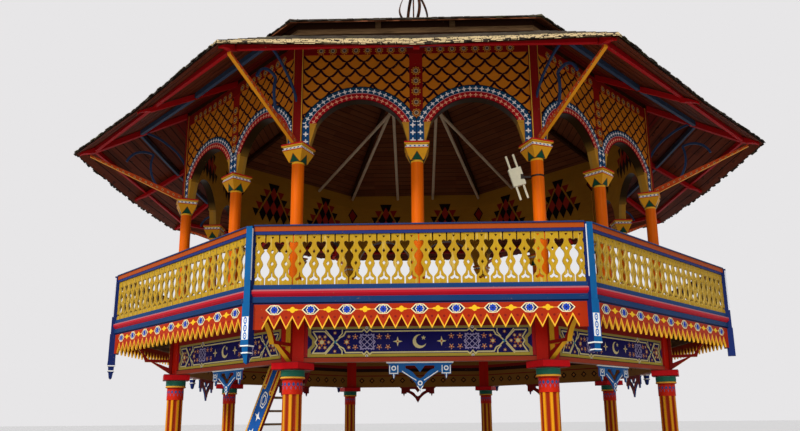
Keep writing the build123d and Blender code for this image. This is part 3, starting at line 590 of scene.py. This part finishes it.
columns = {"flutes": ("8a1e02", "b45a06", "d8900f"), "ribHalf": (radians(12.5), radians(7)), "round": 0.150,
           "neckFoot": 1.95, "neck": "c02008", "bead": (2.178, 0.008, "8a1408"),
           "diamonds": ((0, 2.110, 0.026, "34487e"), (pi / 14, 2.055, 0.012, "8a5070")), "tall": 0.036}


def columnPaint(s):
    p = Paint("striped column")
    angle = p.maths("ARCTAN2", *p.around(pi / 8, columnRadius))
    off = abs(p.middle(angle, pi / 4))  # 0 on the ribs between the flutes
    shadow, side, rib = s["flutes"]
    flutes = p.layers(shadow, (off < s["ribHalf"][0], side), (off < s["ribHalf"][1], rib))
    rows = [(p.rhomb(p.middle(angle + turn, pi / 7) * s["round"], p.z - level, wide, s["tall"]), colour)
            for turn, level, wide, colour in s["diamonds"]]
    level, half, bead = s["bead"]
    neck = p.layers(s["neck"], *rows, (abs(p.z - level) < half, bead))
    return p.done(p.blend(p.z > s["neckFoot"], flutes, neck), grain=(40, 40, 3), chips=0.09)


beam = {"inner": 4.98, "half": 1.82, "foot": 2.530, "sill": 2.590, "lintel": 2.990, "top": 3.030,
        "navy": ("130d5e", "0a0a3c"), "thread": 2.534,
        "back": ((2.92, 3.02, "2a100c"), (3.02, 3.10, "8a1c14")),
        "chain": (0.31, 2.66, 0.085, 0.040), "line": (2.80, 0.014)}


def beamPaint(s):
    p = Paint("frieze beam paint")
    along, out = p.around()
    field = p.layers(p.blend(p.noise(9, 3) * 0.6, *s["navy"]),
                     (p.span(p.z, s["lintel"], s["top"]), "a8954a"),
                     (p.span(p.z, s["foot"], s["sill"]), "b8a038"))
    front = p.layers("a3161a", (p.z > s["top"], "8d1f1b"), (p.z < s["foot"], "a03a20"),
                     ((abs(along) < s["half"]) * p.span(p.z, s["foot"], s["top"]), field),
                     (abs(p.z - s["thread"]) < 0.006, "2a0e14"))
    pitch, level, link, eye = s["chain"]
    off, rise = p.middle(along, pitch), p.z - level
    back = p.layers("8a5a20", *[(p.span(p.z, low, high), colour) for low, high, colour in s["back"]],
                    (p.rhomb(off, rise, link, link), "1a0f0b"), (p.rhomb(off, rise, eye, eye), "b06a24"),
                    (abs(p.z - s["line"][0]) < s["line"][1], "7a1a12"))
    soffit = (abs(p.faces()[2]) > 0.6) * (p.z < 2.47)
    return p.done(p.layers(front, (out < s["inner"], back), (soffit, "7b3a22")), grain=(3, 20, 40))


def bracketPaint():  # red sides, gold edges
    p = Paint("bracket paint")
    return p.done(p.blend(abs(p.faces(pi / 8)[0]) < 0.5, "8e1410", "dda21f"), grain=(8, 8, 8))


teeth = {"first": 2.25, "pitch": 0.18, "tips": 2.860, "deep": 0.175, "rim": 0.036, "half": 2.34,
         "dots": 3.040, "dot": 0.019, "top": 3.236, "red": ("ae2c00", "902000"), "gold": "eeb02e"}


def fasciaPaint(s):
    p = Paint("toothed fascia")
    along = p.around()[0]
    off = p.middle(along + s["first"], s["pitch"])  # 0 at the tips
    edge = s["tips"] + abs(off) * (s["deep"] / (s["pitch"] / 2))
    rim = (p.z < edge + s["rim"]) * (abs(along) < s["half"])
    colour = p.layers(p.blend(p.noise(3.1, 4), *s["red"]), (rim, s["gold"]),
                      (p.disc(off, p.z - s["dots"], s["dot"]), "7c1408"), (p.z > s["top"], "1a1f4c"))
    return p.done(colour, grain=(3, 20, 30))


posts = {"line": 6.654, "proud": 0.030, "stripe": (3.60, 4.40), "panel": (2.71, 3.05), "link": 0.113,
         "linkHalf": (0.030, 0.052), "border": 0.056, "rings": ((2.61, 2.63), (2.51, 2.53)),
         "face": ("075c94", "084878"), "lines": "2b66ae"}


def postPaint(s):
    p = Paint("corner post paint")
    along, out = p.around(pi / 8, s["line"])
    side = p.blend((out > s["proud"]) * p.span(p.z, *s["stripe"]), "10235c", "dfe3ea")
    across = along / s["linkHalf"][0]
    up = p.middle(p.z - s["panel"][0], s["link"]) / s["linkHalf"][1]
    oval = p.maths("SQRT", across * across + up * up)
    chain = p.layers("e4e2da", *[(mask, s["lines"]) for mask in
                                 (abs(oval - 0.80) < 0.24, oval < 0.25, abs(along) > s["border"])])
    face = p.blend(p.span(p.z, *s["panel"]), p.blend(p.noise(6, 3) * 0.8, *s["face"]), chain)
    rings = p.span(p.z, *s["rings"][0]) + p.span(p.z, *s["rings"][1])
    colour = p.layers(side, (p.faces(pi / 8)[1] > 0.6, face), (rings, "eceae2"))
    return p.done(colour, grain=(30, 30, 4))


capitals = {"leafFoot": 5.895, "leafSlope": 0.70, "leaf": 0.100, "green": 0.090, "abacus": 6.080,
            "squares": (0.075, 6.1175, 0.015), "white": 6.095, "gold": 6.140, "red": 6.170}


def capitalPaint(s):
    p = Paint("capital paint")
    wides = []  # place across a face, round the middle and the corner columns
    for start, at in ((0.0, columnLine), (pi / 8, columnRadius)):
        along, out = p.around(start, at)
        nx, no, nz = p.faces(start)
        facing = abs(no) > abs(nx)
        wides.append(along * facing + out * (1 - facing))
    wide = wides[1] + (wides[0] - wides[1]) * p.disc(*p.around(0.0, columnLine), 0.5)
    leaf = abs(wide) + (p.z - s["leafFoot"]) * s["leafSlope"]
    cushion = p.layers("d8961a", (leaf < s["leaf"], "7c3010"), (leaf < s["green"], "0c4430"))
    pitch, level, half = s["squares"]
    square = p.maths("MAXIMUM", abs(p.middle(wide, pitch)), abs(p.z - level)) < half
    abacus = p.layers("bd2a1c", (p.z > s["white"], "ece6d2"), (square, "2a5ba6"), (p.z > s["gold"], "e3ab28"),
                      (p.z > s["red"], "c2241d"))
    return p.done(p.blend(p.z > s["abacus"], cushion, abacus), grain=(20, 20, 20))


arch = {"side": 0.9985, "level": 6.175, "footTop": 6.60, "face": 4.97, "pier": 0.13, "bead": (0.982, 0.005),
        "inner": 0.868, "outer": 1.094, "ochre": "c8902c", "blue": "0f4674",
        "outerCross": (1.045, 0.105, 1.040, 0.042, 0.009), "innerCross": (0.918, 0.092, 0.918, 0.036, 0.007)}
net = {"pitch": 0.307, "rise": 0.144, "top": 7.770, "bend": 0.9216, "sweep": 0.64 / 0.72, "slant": 0.36,
       "line": 0.0165, "fringe": 0.022, "strip": (7.68, 0.117), "base": ("e88c22", "c46c12"),
       "inside": ("c48a24", "96621a"), "paintedShade": "140905"}


def archPlace(p):  # place across the nearer arch, and from the column line
    along = p.around()[0]
    across = along - p.maths("SIGN", along) * arch["side"]
    return across, arch["side"] - abs(across)


def arcadePaint(s):
    p = Paint("spandrel net")
    along, out = p.around()
    nx, no, nz = p.faces()
    level = (s["top"] - p.z) / s["rise"]  # scales: each row's curves hang from the row above
    row, f = p.maths("FLOOR", level), p.maths("FRACT", level)
    off = abs(p.middle(along + (row + 1) * (s["pitch"] / 2), s["pitch"]))
    root = p.maths("SQRT", 1 - f * f * s["bend"])
    curve = (1 - root) * s["sweep"] + f * s["slant"]
    lean = (f / root * (s["bend"] * s["sweep"]) + s["slant"]) * (s["pitch"] / 2 / s["rise"])
    line = abs(off - curve * (s["pitch"] / 2)) / p.maths("SQRT", lean * lean + 1)
    foot, half = s["strip"]
    scales = p.layers(p.blend(p.noise(2.2, 4), *s["base"]), (line < s["fringe"], "7c2c14"),
                      (line < s["line"], "190818"), ((p.z > foot) * (abs(along) < half), "9c1410"))
    inside = p.blend(p.noise(1.6, 4), *s["inside"])
    pier = p.blend(archPlace(p)[1] < arch["pier"], arch["ochre"], arch["blue"])
    under = p.maths("MAXIMUM", p.maths("MINIMUM", (-0.15 - nz) * 2, 1), 0)  # painted shade where it faces down
    colour = p.layers(scales, (out < arch["face"], inside), (abs(no) < 0.6, "b98a35"),
                      ((p.z < arch["footTop"]) * (out > arch["face"]), pier), (under * 0.96, s["paintedShade"]))
    return p.done(colour, grain=(3, 3, 20))


def trimPaint(s):
    p = Paint("arch bands")
    across, pier = archPlace(p)
    up = p.z - s["level"]
    radius = p.maths("SQRT", across * across + up * up)
    angle = p.maths("ARCTAN2", across, up)
    outer, inner = [p.cross(p.middle(angle * scale, pitch), radius - line, reach, half)
                    for scale, pitch, line, reach, half in (s["outerCross"], s["innerCross"])]
    red = p.layers("b40e1c", (inner, "f0ac84"), (radius < s["inner"], "3a0d10"))
    blue = p.layers("0e4468", (outer, "f2eeea"), (radius > s["outer"], "0c1e30"))
    bead, half = s["bead"]
    ring = p.layers(blue, (radius < bead, red), (abs(radius - bead) < half, "d8a8a4"))
    footCross = p.cross(pier - 0.066, p.middle(p.z - 6.193, 0.140), 0.046, 0.010)
    foot = p.layers(s["blue"], (footCross, "f2eeea"), (pier < 0.007, "0d1c38"),
                    (pier > s["pier"], s["ochre"]))
    return p.done(p.blend(p.z < s["footTop"], ring, foot), grain=(10, 10, 10))


def wallPostPaint(corner=2.067):  # a gold line along both edges
    p = Paint("wall corner paint")
    edge = corner - abs(p.around()[0])
    return p.done(p.layers("8a1512", (p.span(edge, 0.047, 0.062), "e3b23c")), grain=(3, 3, 20))


strut = {"from": (5.56, 6.262), "slope": 0.375, "pitch": 0.115,
         "dots": ((0.022, "c8a060"), (0.012, "6a3040"))}


def strutPaint(s):
    p = Paint("strut paint")
    out = p.around(pi / 8)[1]
    drop = p.z - s["from"][1] - (out - s["from"][0]) * s["slope"]
    dots = [(p.disc(p.middle(out, s["pitch"]), drop, size), colour) for size, colour in s["dots"]]
    colour = p.blend(abs(p.faces(pi / 8)[0]) < 0.5, p.layers("c2461a", *dots), "e2921c")
    return p.done(colour, grain=(10, 10, 10))


# wall plates: ochre inside; the outer face dark brown as painted shade under the crown's eave
def platePaint():
    p = Paint("plate paint")
    return p.done(p.blend(p.around()[1] > 5.0, "a8741e", "3a2014"), grain=(3, 3, 30))


def upperColumnPaint(foot=3.60, neck=5.862):
    p = Paint("orange column paint")
    drips = p.noise(1, 3, vector=p.joined(p.x * 30, p.y * 30, p.z * 1.2))
    colour = p.layers(p.blend(drips, "ea6c00", "c44e00"), (p.z < foot, "a3421a"), (p.z > neck, "e3a626"))
    return p.done(colour, grain=(30, 30, 3), gloss=0.01, dust=0.01)


def stonePaint():
    p = Paint("grey stone")
    pits = p.noise(26, 4, 0.7) * 0.5 + p.noise(3, 3) * 0.5
    colour = p.ramp(pits, (0.32, "4b443c"), (0.55, "847a6c"), (0.7, "a39a8a"))
    return p.done(colour, grain=(9, 9, 9), rough=0.85, gloss=0, chips=0, bump=0.7)


def ironPaint():
    p = Paint("wrought iron")
    colour = p.ramp(p.noise(9, 5, 0.65), (0.4, "1d1714"), (0.62, "5a3320"), (0.75, "7d4a28"))
    p.shader.inputs["Metallic"].default_value = 0.6
    return p.done(colour, grain=(9, 9, 9), rough=0.55, gloss=0, dust=0.05, chips=0, bump=0.4)


def dropPaint():  # blue outside with a white top edge, red behind
    p = Paint("drop board paint")
    colour = p.layers("0e5490", (p.z > 2.437, "e9e9e2"), (p.around()[1] < 4.98, "7a1410"))
    return p.done(colour, grain=(10, 10, 10))


def stairPaint(foot=-1.07, run=0.5421, rise=0.8403):
    p = Paint("stair string paint")
    along, out = p.around()
    across = p.z * run - (along - foot) * rise  # from the middle line of the sloping string
    # dark red along the string's underside and lower edge is painted shade; the far string is painted dark
    # red
    colour = p.layers("0f4f98", (across < -0.150, "6a0f12"), (out < 3.8, "6a0f12"))
    return p.done(colour, grain=(10, 10, 10))


lamp = {"column": (2.067, -4.990), "arm": 5.590, "armHalf": 0.045, "reach": 0.30}


def lampPaint(s):
    p = Paint("lamp enamel")
    stain = p.noise(1, 4, vector=p.joined(p.x * 4, p.y * 4, p.z * 12))
    arm = p.disc(p.x - s["column"][0], p.y - s["column"][1], s["reach"])
    arm = arm * (abs(p.z - s["arm"]) < s["armHalf"])
    colour = p.layers(p.blend((stain - 0.5) * 1.2, "e4dcbc", "9c9484"), (arm, "2a1c14"))
    return p.done(colour, grain=(9, 9, 9), rough=0.35, gloss=0.2, chips=0)


dress(stonePaint(), "column_plinths")
dress(columnPaint(columns), "lower_columns")
dress(bandPaint("green drum", "1f5f4b", collarBands, (20, 20, 20)), "column_collars")
dress(bandPaint("red abacus", "c80a14", abacusBands, (20, 20, 20)), "column_abaci")
dress(plainPaint("dark red post paint", "c81804", grain=(20, 20, 5)), "beam_posts")
dress(beamPaint(beam), "frieze_beams")
dress(dropPaint(), "beam_pendants")
dress(bracketPaint(), "corner_brackets")
dress(woodPaint("joist wood", "8a6a4c", "3a2a1f", (4, 4, 30)), "floor_joists", "rim_joists")
dress(woodPaint("floor boards", "9a7a58", "4a3626", (3, 30, 3)), "floor_boards")
dress(fasciaPaint(teeth), "fascia_boards")
dress(bandPaint("balcony moulding paint", "0c0f36", mouldingBands, (2, 20, 40)), "balcony_mouldings")
dress(postPaint(posts), "railing_posts")
dress(upperColumnPaint(), "upper_corner_columns", "upper_mid_columns")
dress(capitalPaint(capitals), "upper_capitals")
dress(arcadePaint(net), *["arch_panel_" + name for name in sideNames])
dress(trimPaint(arch), "arch_trims")
dress(plainPaint("rosette board paint", "8c100e", grain=(3, 3, 20)), "rosette_boards")
dress(wallPostPaint(), "wall_corner_posts")
dress(platePaint(), "wall_plates")
rafters = plainPaint("rafter paint", "b40e14", grain=(10, 10, 10))
dress(rafters, "hip_rafters")
lifted(carried, "mid_rafters", rafters)
lifted(carried, "eave_purlins", plainPaint("crimson purlin paint", "a80c14", grain=(3, 20, 20)),
       carried["squeeze"])
lifted(carried, "mid_purlins", plainPaint("slate purlin paint", "36465e", grain=(8, 8, 8)))
dress(plainPaint("slate scroll paint", "2a3c5c", grain=(8, 8, 8)), "eave_scrolls")
dress(strutPaint(strut), "eave_struts")
dress(woodPaint("weathered pine", "9a7650", "4c3522", (3, 30, 30)), "step_boards", "eave_blocks", "roof_boss")
dress(woodPaint("grey brown poles", "f4e2c4", "c8b494", (14, 14, 14), chips=0), "ceiling_poles", "hub_frame")
dress(woodPaint("dark rafters", "54341f", "20110a", (14, 14, 14)), "upper_rafters")
dress(ironPaint(), "finial")
dress(stairPaint(), "stair_strings")
dress(woodPaint("worn treads", "94785a", "4a3828", (20, 4, 4)), "stair_treads")
dress(lampPaint(lamp), "tube_lamp")
print("paints made")


# Painted ornament: thin closed forms on the wood, each in its own colour, drawn in a side's own frame
lift = {"sunk": 0.001, "first": 0.0025, "level": 0.0012}


def ornamentPaint():
    p = Paint("painted ornament")
    colour = p.node("ShaderNodeAttribute", {"attribute_name": "paint"}, {})
    return p.done(colour, grain=(3, 20, 20), chips=0.03)


ornamentMaterial = ornamentPaint()


class Ornament:
    def __init__(self, out, inward=False):
        self.bm = bmesh.new()
        self.paint = self.bm.loops.layers.float_color.new("paint")
        self.out, self.way = out, 1 if inward else -1

    def shape(self, points, colour, level=0):
        face = self.bm.faces.new([self.bm.verts.new((x, -self.out - self.way * lift["sunk"], z))
                                  for x, z in points])
        for loop in face.loops:
            loop[self.paint] = tone(colour)
        push(self.bm, [face], (0, self.way * (lift["first"] + lift["level"] * level), 0))

    def four(self, points, colour, level=0, z=None):  # mirrored left to right, and about height z if given
        for x in (1, -1):
            for up in (1,) if z is None else (1, -1):
                self.shape([(x * a, b if up > 0 else 2 * z - b) for a, b in points], colour, level)

    def finish(self, name, slot, turns=allSides):
        copyRound(self.bm, turns)
        piece(self.bm, name, ornamentMaterial)


def stroked(path, width):  # outline of a line of even width, mitred
    left, right = [], []
    for i, spot in enumerate(path):
        here = Vector(spot)
        steps = zip(path[max(i - 1, 0):i + 1], path[max(i, 1):i + 2])
        ways = [(Vector(b) - Vector(a)).normalized() for a, b in steps]
        mean = sum(ways[1:], ways[0]).normalized()
        across = Vector((-mean.y, mean.x)) * (width / 2 / max(mean.dot(ways[0]), 0.5))
        left.append(tuple(here + across))
        right.append(tuple(here - across))
    return left + right[::-1]


def petalled(x, z, size, petals=0, depth=0.0, wide=1.0, count=None):  # disc, or a lobed disc
    count = count or max(12, petals * 4)
    turns = [2 * pi * i / count for i in range(count)]
    reaches = [size * (1 - depth + depth * cos(petals * turn)) for turn in turns]
    return [(x + reach * sin(turn) * wide, z + reach * cos(turn)) for turn, reach in zip(turns, reaches)]


def starred(x, z, size, points=4, waist=0.30):
    return [(x + size * (waist if i % 2 else 1) * sin(pi * i / points),
             z + size * (waist if i % 2 else 1) * cos(pi * i / points)) for i in range(2 * points)]


def crescent(x, z, size, offset, inner):  # a disc less a smaller one, placed off its middle
    apart = sqrt(offset[0] ** 2 + offset[1] ** 2)
    lean = atan2(offset[1], offset[0])
    one = acos((apart ** 2 + size ** 2 - inner ** 2) / (2 * apart * size))
    two = acos((size ** 2 - apart ** 2 - inner ** 2) / (2 * apart * inner))
    spots = [(x + size * cos(a), z + size * sin(a))
             for a in [lean + one + (2 * pi - 2 * one) * i / 20 for i in range(21)]]
    return spots + [(x + offset[0] + inner * cos(a), z + offset[1] + inner * sin(a))
                    for a in [lean - two - (2 * pi - 2 * two) * i / 16 for i in range(1, 16)]]


frieze = {
    "face": 5.07, "middle": 2.781, "cream": "dccd92", "olive": "a8954a", "brown": "bd6a2a", "teal": "3f8f9c",
    "lilac": "a89cc0", "navy": "0e0b48", "white": "e6e0d0", "red": "b43a18", "leaf": "d8b48c",
    "straps": [
        (0.050, "olive", 0, [(-1.792, 3.030), (-1.792, 2.905), (-1.723, 2.832), (-1.723, 2.730),
                             (-1.792, 2.657), (-1.792, 2.532)]),
        (0.021, "cream", 1, [(-1.738, 2.957), (-1.546, 2.957), (-1.384, 2.788), (-1.539, 2.605),
                             (-1.738, 2.605), (-1.664, 2.722), (-1.701, 2.781), (-1.664, 2.840),
                             (-1.738, 2.957)])],
    "doubled": [
        (0.0168, 2, [(-1.531, 2.979), (-1.399, 2.825)]),
        (0.021, 1, [(-1.369, 2.781), (-1.296, 2.854), (-1.237, 2.883), (-1.200, 2.952), (-0.935, 2.952),
                    (-0.903, 2.982), (-0.858, 2.935), (-0.810, 2.982), (-0.773, 2.952), (0, 2.952)]),
        (0.0168, 2, [(-1.259, 2.986), (-1.259, 2.920), (-1.318, 2.854)])],
    "flowers": [(-1.590, 2.781, 0.078), (-1.627, 2.868, 0.036), (-1.539, 2.868, 0.036),
                (-1.480, 2.781, 0.036), (-1.377, 2.930, 0.032), (-1.185, 2.781, 0.055),
                (-1.150, 2.868, 0.034)],
    "leaves": [(-1.045, 2.865), (-0.655, 2.865), (-0.515, 2.865)], "cross": (-1.369, 2.781),
    "stud": (-0.858, 3.009), "spark": (-0.356, 2.784), "moon": (0.112, (0.030, 0.019), 0.090), "knot": -0.851,
    "knotHalf": [(0, 0.108), (0.118, 0.128), (0.104, 0.040), (0.140, 0), (0.104, -0.040), (0.118, -0.128),
                 (0, -0.108)],
    "knotBands": [(-0.096, 0.036), (-0.048, 0.076), (0, 0.100), (0.048, 0.076), (0.096, 0.036)]}


def makeFriezeOrnament(s):
    o, mid, knot = Ornament(s["face"]), s["middle"], s["knot"]
    for width, colour, level, path in s["straps"]:
        o.four(stroked(path, width), s[colour], level)
    for width, level, path in s["doubled"]:  # above and below the middle
        o.four(stroked(path, width), s["cream"], level, mid)
    o.four(petalled(*s["cross"], 0.022), s["teal"], 3)
    o.four(petalled(*s["stud"], 0.024), s["white"], 2, mid)
    o.four(starred(*s["stud"], 0.020), s["navy"], 3, mid)
    for x, z, size in s["flowers"]:
        flip = None if z == mid else mid
        o.four(petalled(x, z, size, 6, 0.28), s["brown"], 1, flip)
        o.four(petalled(x, z, size * 0.45, count=8), s["cream"], 2, flip)
    for spot in s["leaves"]:
        o.four(petalled(*spot, 0.052, 5, 0.40), s["leaf"], 1, mid)
        o.four(starred(*spot, 0.040, 5, 0.45), s["red"], 2, mid)
        o.four(petalled(*spot, 0.012, count=8), s["cream"], 3, mid)
    for share, colour, level in ((1, s["lilac"], 1), (0.86, s["navy"], 2)):
        o.four(placed(mirrored(s["knotHalf"]), knot, mid, share), colour, level)
    for k, reach in s["knotBands"]:  # crossing bands
        for turn in (1, -1):
            band = [(k - reach, -turn * (k + reach)), (k + reach, -turn * (k - reach))]
            o.four(stroked(placed(band, knot, mid), 0.011), s["lilac"], 3 if turn > 0 else 4)
    o.four(starred(*s["spark"], 0.080), s["cream"], 1)
    o.four(petalled(*s["spark"], 0.014), s["red"], 2)
    o.shape(crescent(0, mid, *s["moon"]), s["cream"], 1)
    o.shape(starred(0.064, 2.840, 0.040, 5, 0.42), s["cream"], 1)
    o.finish("frieze_ornament", "frieze")


makeFriezeOrnament(frieze)

medallions = {"face": 6.14, "level": 3.152, "pitch": 0.54, "count": 9, "cream": "ecdca6", "navy": "141a56",
              "blue": "1a3ca4", "orange": "e6b41c", "line": "e08a3c",
              "half": [(0, 0.076), (0.062, 0.070), (0.134, 0), (0.062, -0.070), (0, -0.076)]}


def makeFasciaMedallions(s):
    o, z = Ornament(s["face"]), s["level"]
    for j in range(s["count"]):
        x = (j - (s["count"] - 1) / 2) * s["pitch"]
        for share, colour, level in ((1, s["cream"], 1), (0.84, s["navy"], 2)):
            o.shape(placed(mirrored(s["half"]), x, z, share), colour, level)
        for level, (colour, *disc) in enumerate(((s["cream"], 0.071, 8, 0.10), (s["blue"], 0.061, 8, 0.14),
                                                 (s["navy"], 0.014)), 3):
            o.shape(petalled(x, z, *disc), colour, level)
        if j:
            between = x - s["pitch"] / 2
            o.shape(stroked([(between - 0.140, z), (between + 0.140, z)], 0.012), s["line"])
            o.shape(petalled(between, z, 0.048, 4, 0.24, 1.95), s["orange"], 1)
    o.finish("fascia_medallions", "vermilion")


makeFasciaMedallions(medallions)

strip = {"face": 5.07, "half": 0.117, "tip": 6.63, "point": 0.22, "top": 7.68, "red": "8c1611", "size": 0.086,
         "levels": (7.57, 7.375, 7.18, 6.97, 6.77), "row": (0.235, 0.207, 7.982), "rowSize": 0.078,
         "rings": ((1, "d8902e", 10, 0.16), (0.78, "8c1611", 10, 0.16), (0.50, "cdb27c"), (0.34, "5e4a48"))}


def makeStripRosettes(s):
    o = Ornament(s["face"])
    o.shape(mirrored([(0, s["tip"]), (s["half"], s["tip"] + s["point"]), (s["half"], s["top"])]), s["red"])
    first, pitch, high = s["row"]
    spots = [(0, z, s["size"], 13) for z in s["levels"]]  # raised enough to stand over the arch bands
    spots += [(sign * (first + pitch * k), high, s["rowSize"], 17) for k in range(8) for sign in (-1, 1)]
    for x, z, size, level in spots:
        for step, (share, colour, *lobes) in enumerate(s["rings"]):
            o.shape(petalled(x, z, size * share, *lobes), colour, level + step)
    o.finish("strip_rosettes", "arcade")


makeStripRosettes(strip)

motifs = {"face": 4.91, "centre": 0.95, "corner": 2.033, "black": "120a0a", "red": "8f1a10", "pink": "a42c1c",
          "rows": ((8.06, 0.24, (0,)), (7.85, 0.36, (-0.12, 0.12)), (7.64, 0.48, (-0.24, 0, 0.24)),
                   (7.43, 0.59, (-0.36, -0.12, 0.12, 0.36)))}


def makeWallMotifs(s):  # interlocked rows that widen downwards, above each arch
    o, x, corner = Ornament(s["face"], inward=True), s["centre"], s["corner"]
    o.four([(x - 0.19, 8.27), (x + 0.19, 8.27), (x + 0.10, 8.03), (x - 0.10, 8.03)], s["black"])
    for row, (top, reach, middles) in enumerate(s["rows"]):
        inside, ends = (s["black"], s["black"]) if row % 2 else (s["pink"], s["red"])
        for off in (-reach, reach):
            o.four(placed([(-0.115, 0), (0.115, 0), (0, -0.23)], x + off, top), ends)
        for off in middles:
            diamond = [(0, 0.22), (0.116, 0), (0, -0.22), (-0.116, 0)]
            o.four(placed(diamond, x + off, top - 0.11), inside, 1 + row)
    for tall, reach, colour, level in ((0.25, 0.17, s["black"], 0), (0.19, 0.12, s["red"], 1)):
        o.four([(corner, 7.90 + tall), (corner, 7.90 - tall), (corner - reach, 7.90)], colour, level)
    o.finish("wall_motifs", "arcade")


makeWallMotifs(motifs)

pendants = {"face": 5.01, "top": 2.46, "white": "eceae2", "blue": "0e5490", "line": 0.014,
            "lines": [(0, [(0.062, -0.300), (0.165, -0.236), (0.290, -0.152)]),
                      (0, [(0.358, -0.060), (0.358, -0.186), (0.490, -0.186), (0.490, -0.060)]),
                      (1, [(0.424, -0.190), (0.424, -0.262)]), (0, [(0.045, -0.390), (0.0, -0.455)])]}


def makePendantLines(s):
    o = Ornament(s["face"])
    for draw, x, z in ((o.four, 0.424, -0.105), (o.shape, 0, -0.345)):
        draw(petalled(x, s["top"] + z, 0.040), s["white"], 1)
        draw(petalled(x, s["top"] + z, 0.022), s["blue"], 2)
    for level, path in s["lines"]:
        o.four(stroked(placed(path, 0, s["top"]), s["line"]), s["white"], level)
    o.finish("pendant_lines", "blue")


makePendantLines(pendants)

stair = {"face": 4.30, "slope": 1.55, "foot": -1.07, "half": 0.205, "start": 0.35, "end": 3.55,
         "period": 1.55, "firstRing": 1.235, "scallop": 0.03, "white": "efece4", "yellow": "e2a82a",
         "red": "9c1a12", "blue": "0f4f98"}


def makeStairOrnament(s):
    o = Ornament(s["face"])
    lean = atan2(s["slope"], 1)
    run, rise = cos(lean), sin(lean)

    def put(points, colour, level=0):  # points as along and across the string
        o.shape([(s["foot"] + a * run - b * rise, a * rise + b * run) for a, b in points], colour, level)
    start, end, half = s["start"], s["end"], s["half"]
    for sign in (-1, 1):  # scalloped edges
        wave = [(start + s["scallop"] * i, sign * (half - 0.028 - (0.016 if i % 2 else 0)))
                for i in range(round((end - start) / s["scallop"]) + 1)]
        put([(start, sign * half), (end, sign * half)] + wave[::-1], s["yellow"])
    for turn in (-1, 0, 1):
        at = sqrt(1 + s["slope"] ** 2) * s["firstRing"] + turn * s["period"]
        for level, size in enumerate((0.125, 0.104, 0.078, 0.056), 1):
            ring = [(at + a * 1.45, b * 0.80) for a, b in petalled(0, 0, size, 6, 0.06)]
            put(ring, s["white"] if level % 2 else s["blue"], level)
        for off in (-0.36, -0.72):
            put(starred(at + off, 0, 0.105, 4, 0.32), s["white"], 1)
        for middle in (-0.118, 0.118):
            for level, reach, colour in ((1, 0.050, s["yellow"]), (2, 0.026, s["red"])):
                put([(at + 0.24, middle - reach), (at + 0.78, middle - reach), (at + 0.78, middle + reach),
                     (at + 0.24, middle + reach)], colour, level)
            put(petalled(at + 0.22, middle, 0.050, count=12), s["yellow"], 3)
            put(petalled(at + 0.22, middle, 0.022, count=8), s["red"], 4)
    cutPast(o.bm, (0, 0, 0.02), (0, 0, -1))
    turnRound(o.bm, o.bm.verts, 315)
    o.finish("stair_ornament", "blue", [])


makeStairOrnament(stair)
print("ornament made")

# Floor
ground = {"reach": 140, "colour": (0.62, 0.61, 0.60, 1), "roughness": 0.9}


def makeFloor(s):
    bm = bmesh.new()
    bmesh.ops.create_grid(bm, x_segments=1, y_segments=1, size=s["reach"])
    mesh = meshOf(bm, "floor")
    paint = Paint("pale floor")
    paint.feed(paint.shader.inputs["Base Color"], s["colour"])
    paint.feed(paint.shader.inputs["Roughness"], s["roughness"])
    mesh.materials.append(paint.material)
    added("floor", mesh)


makeFloor(ground)
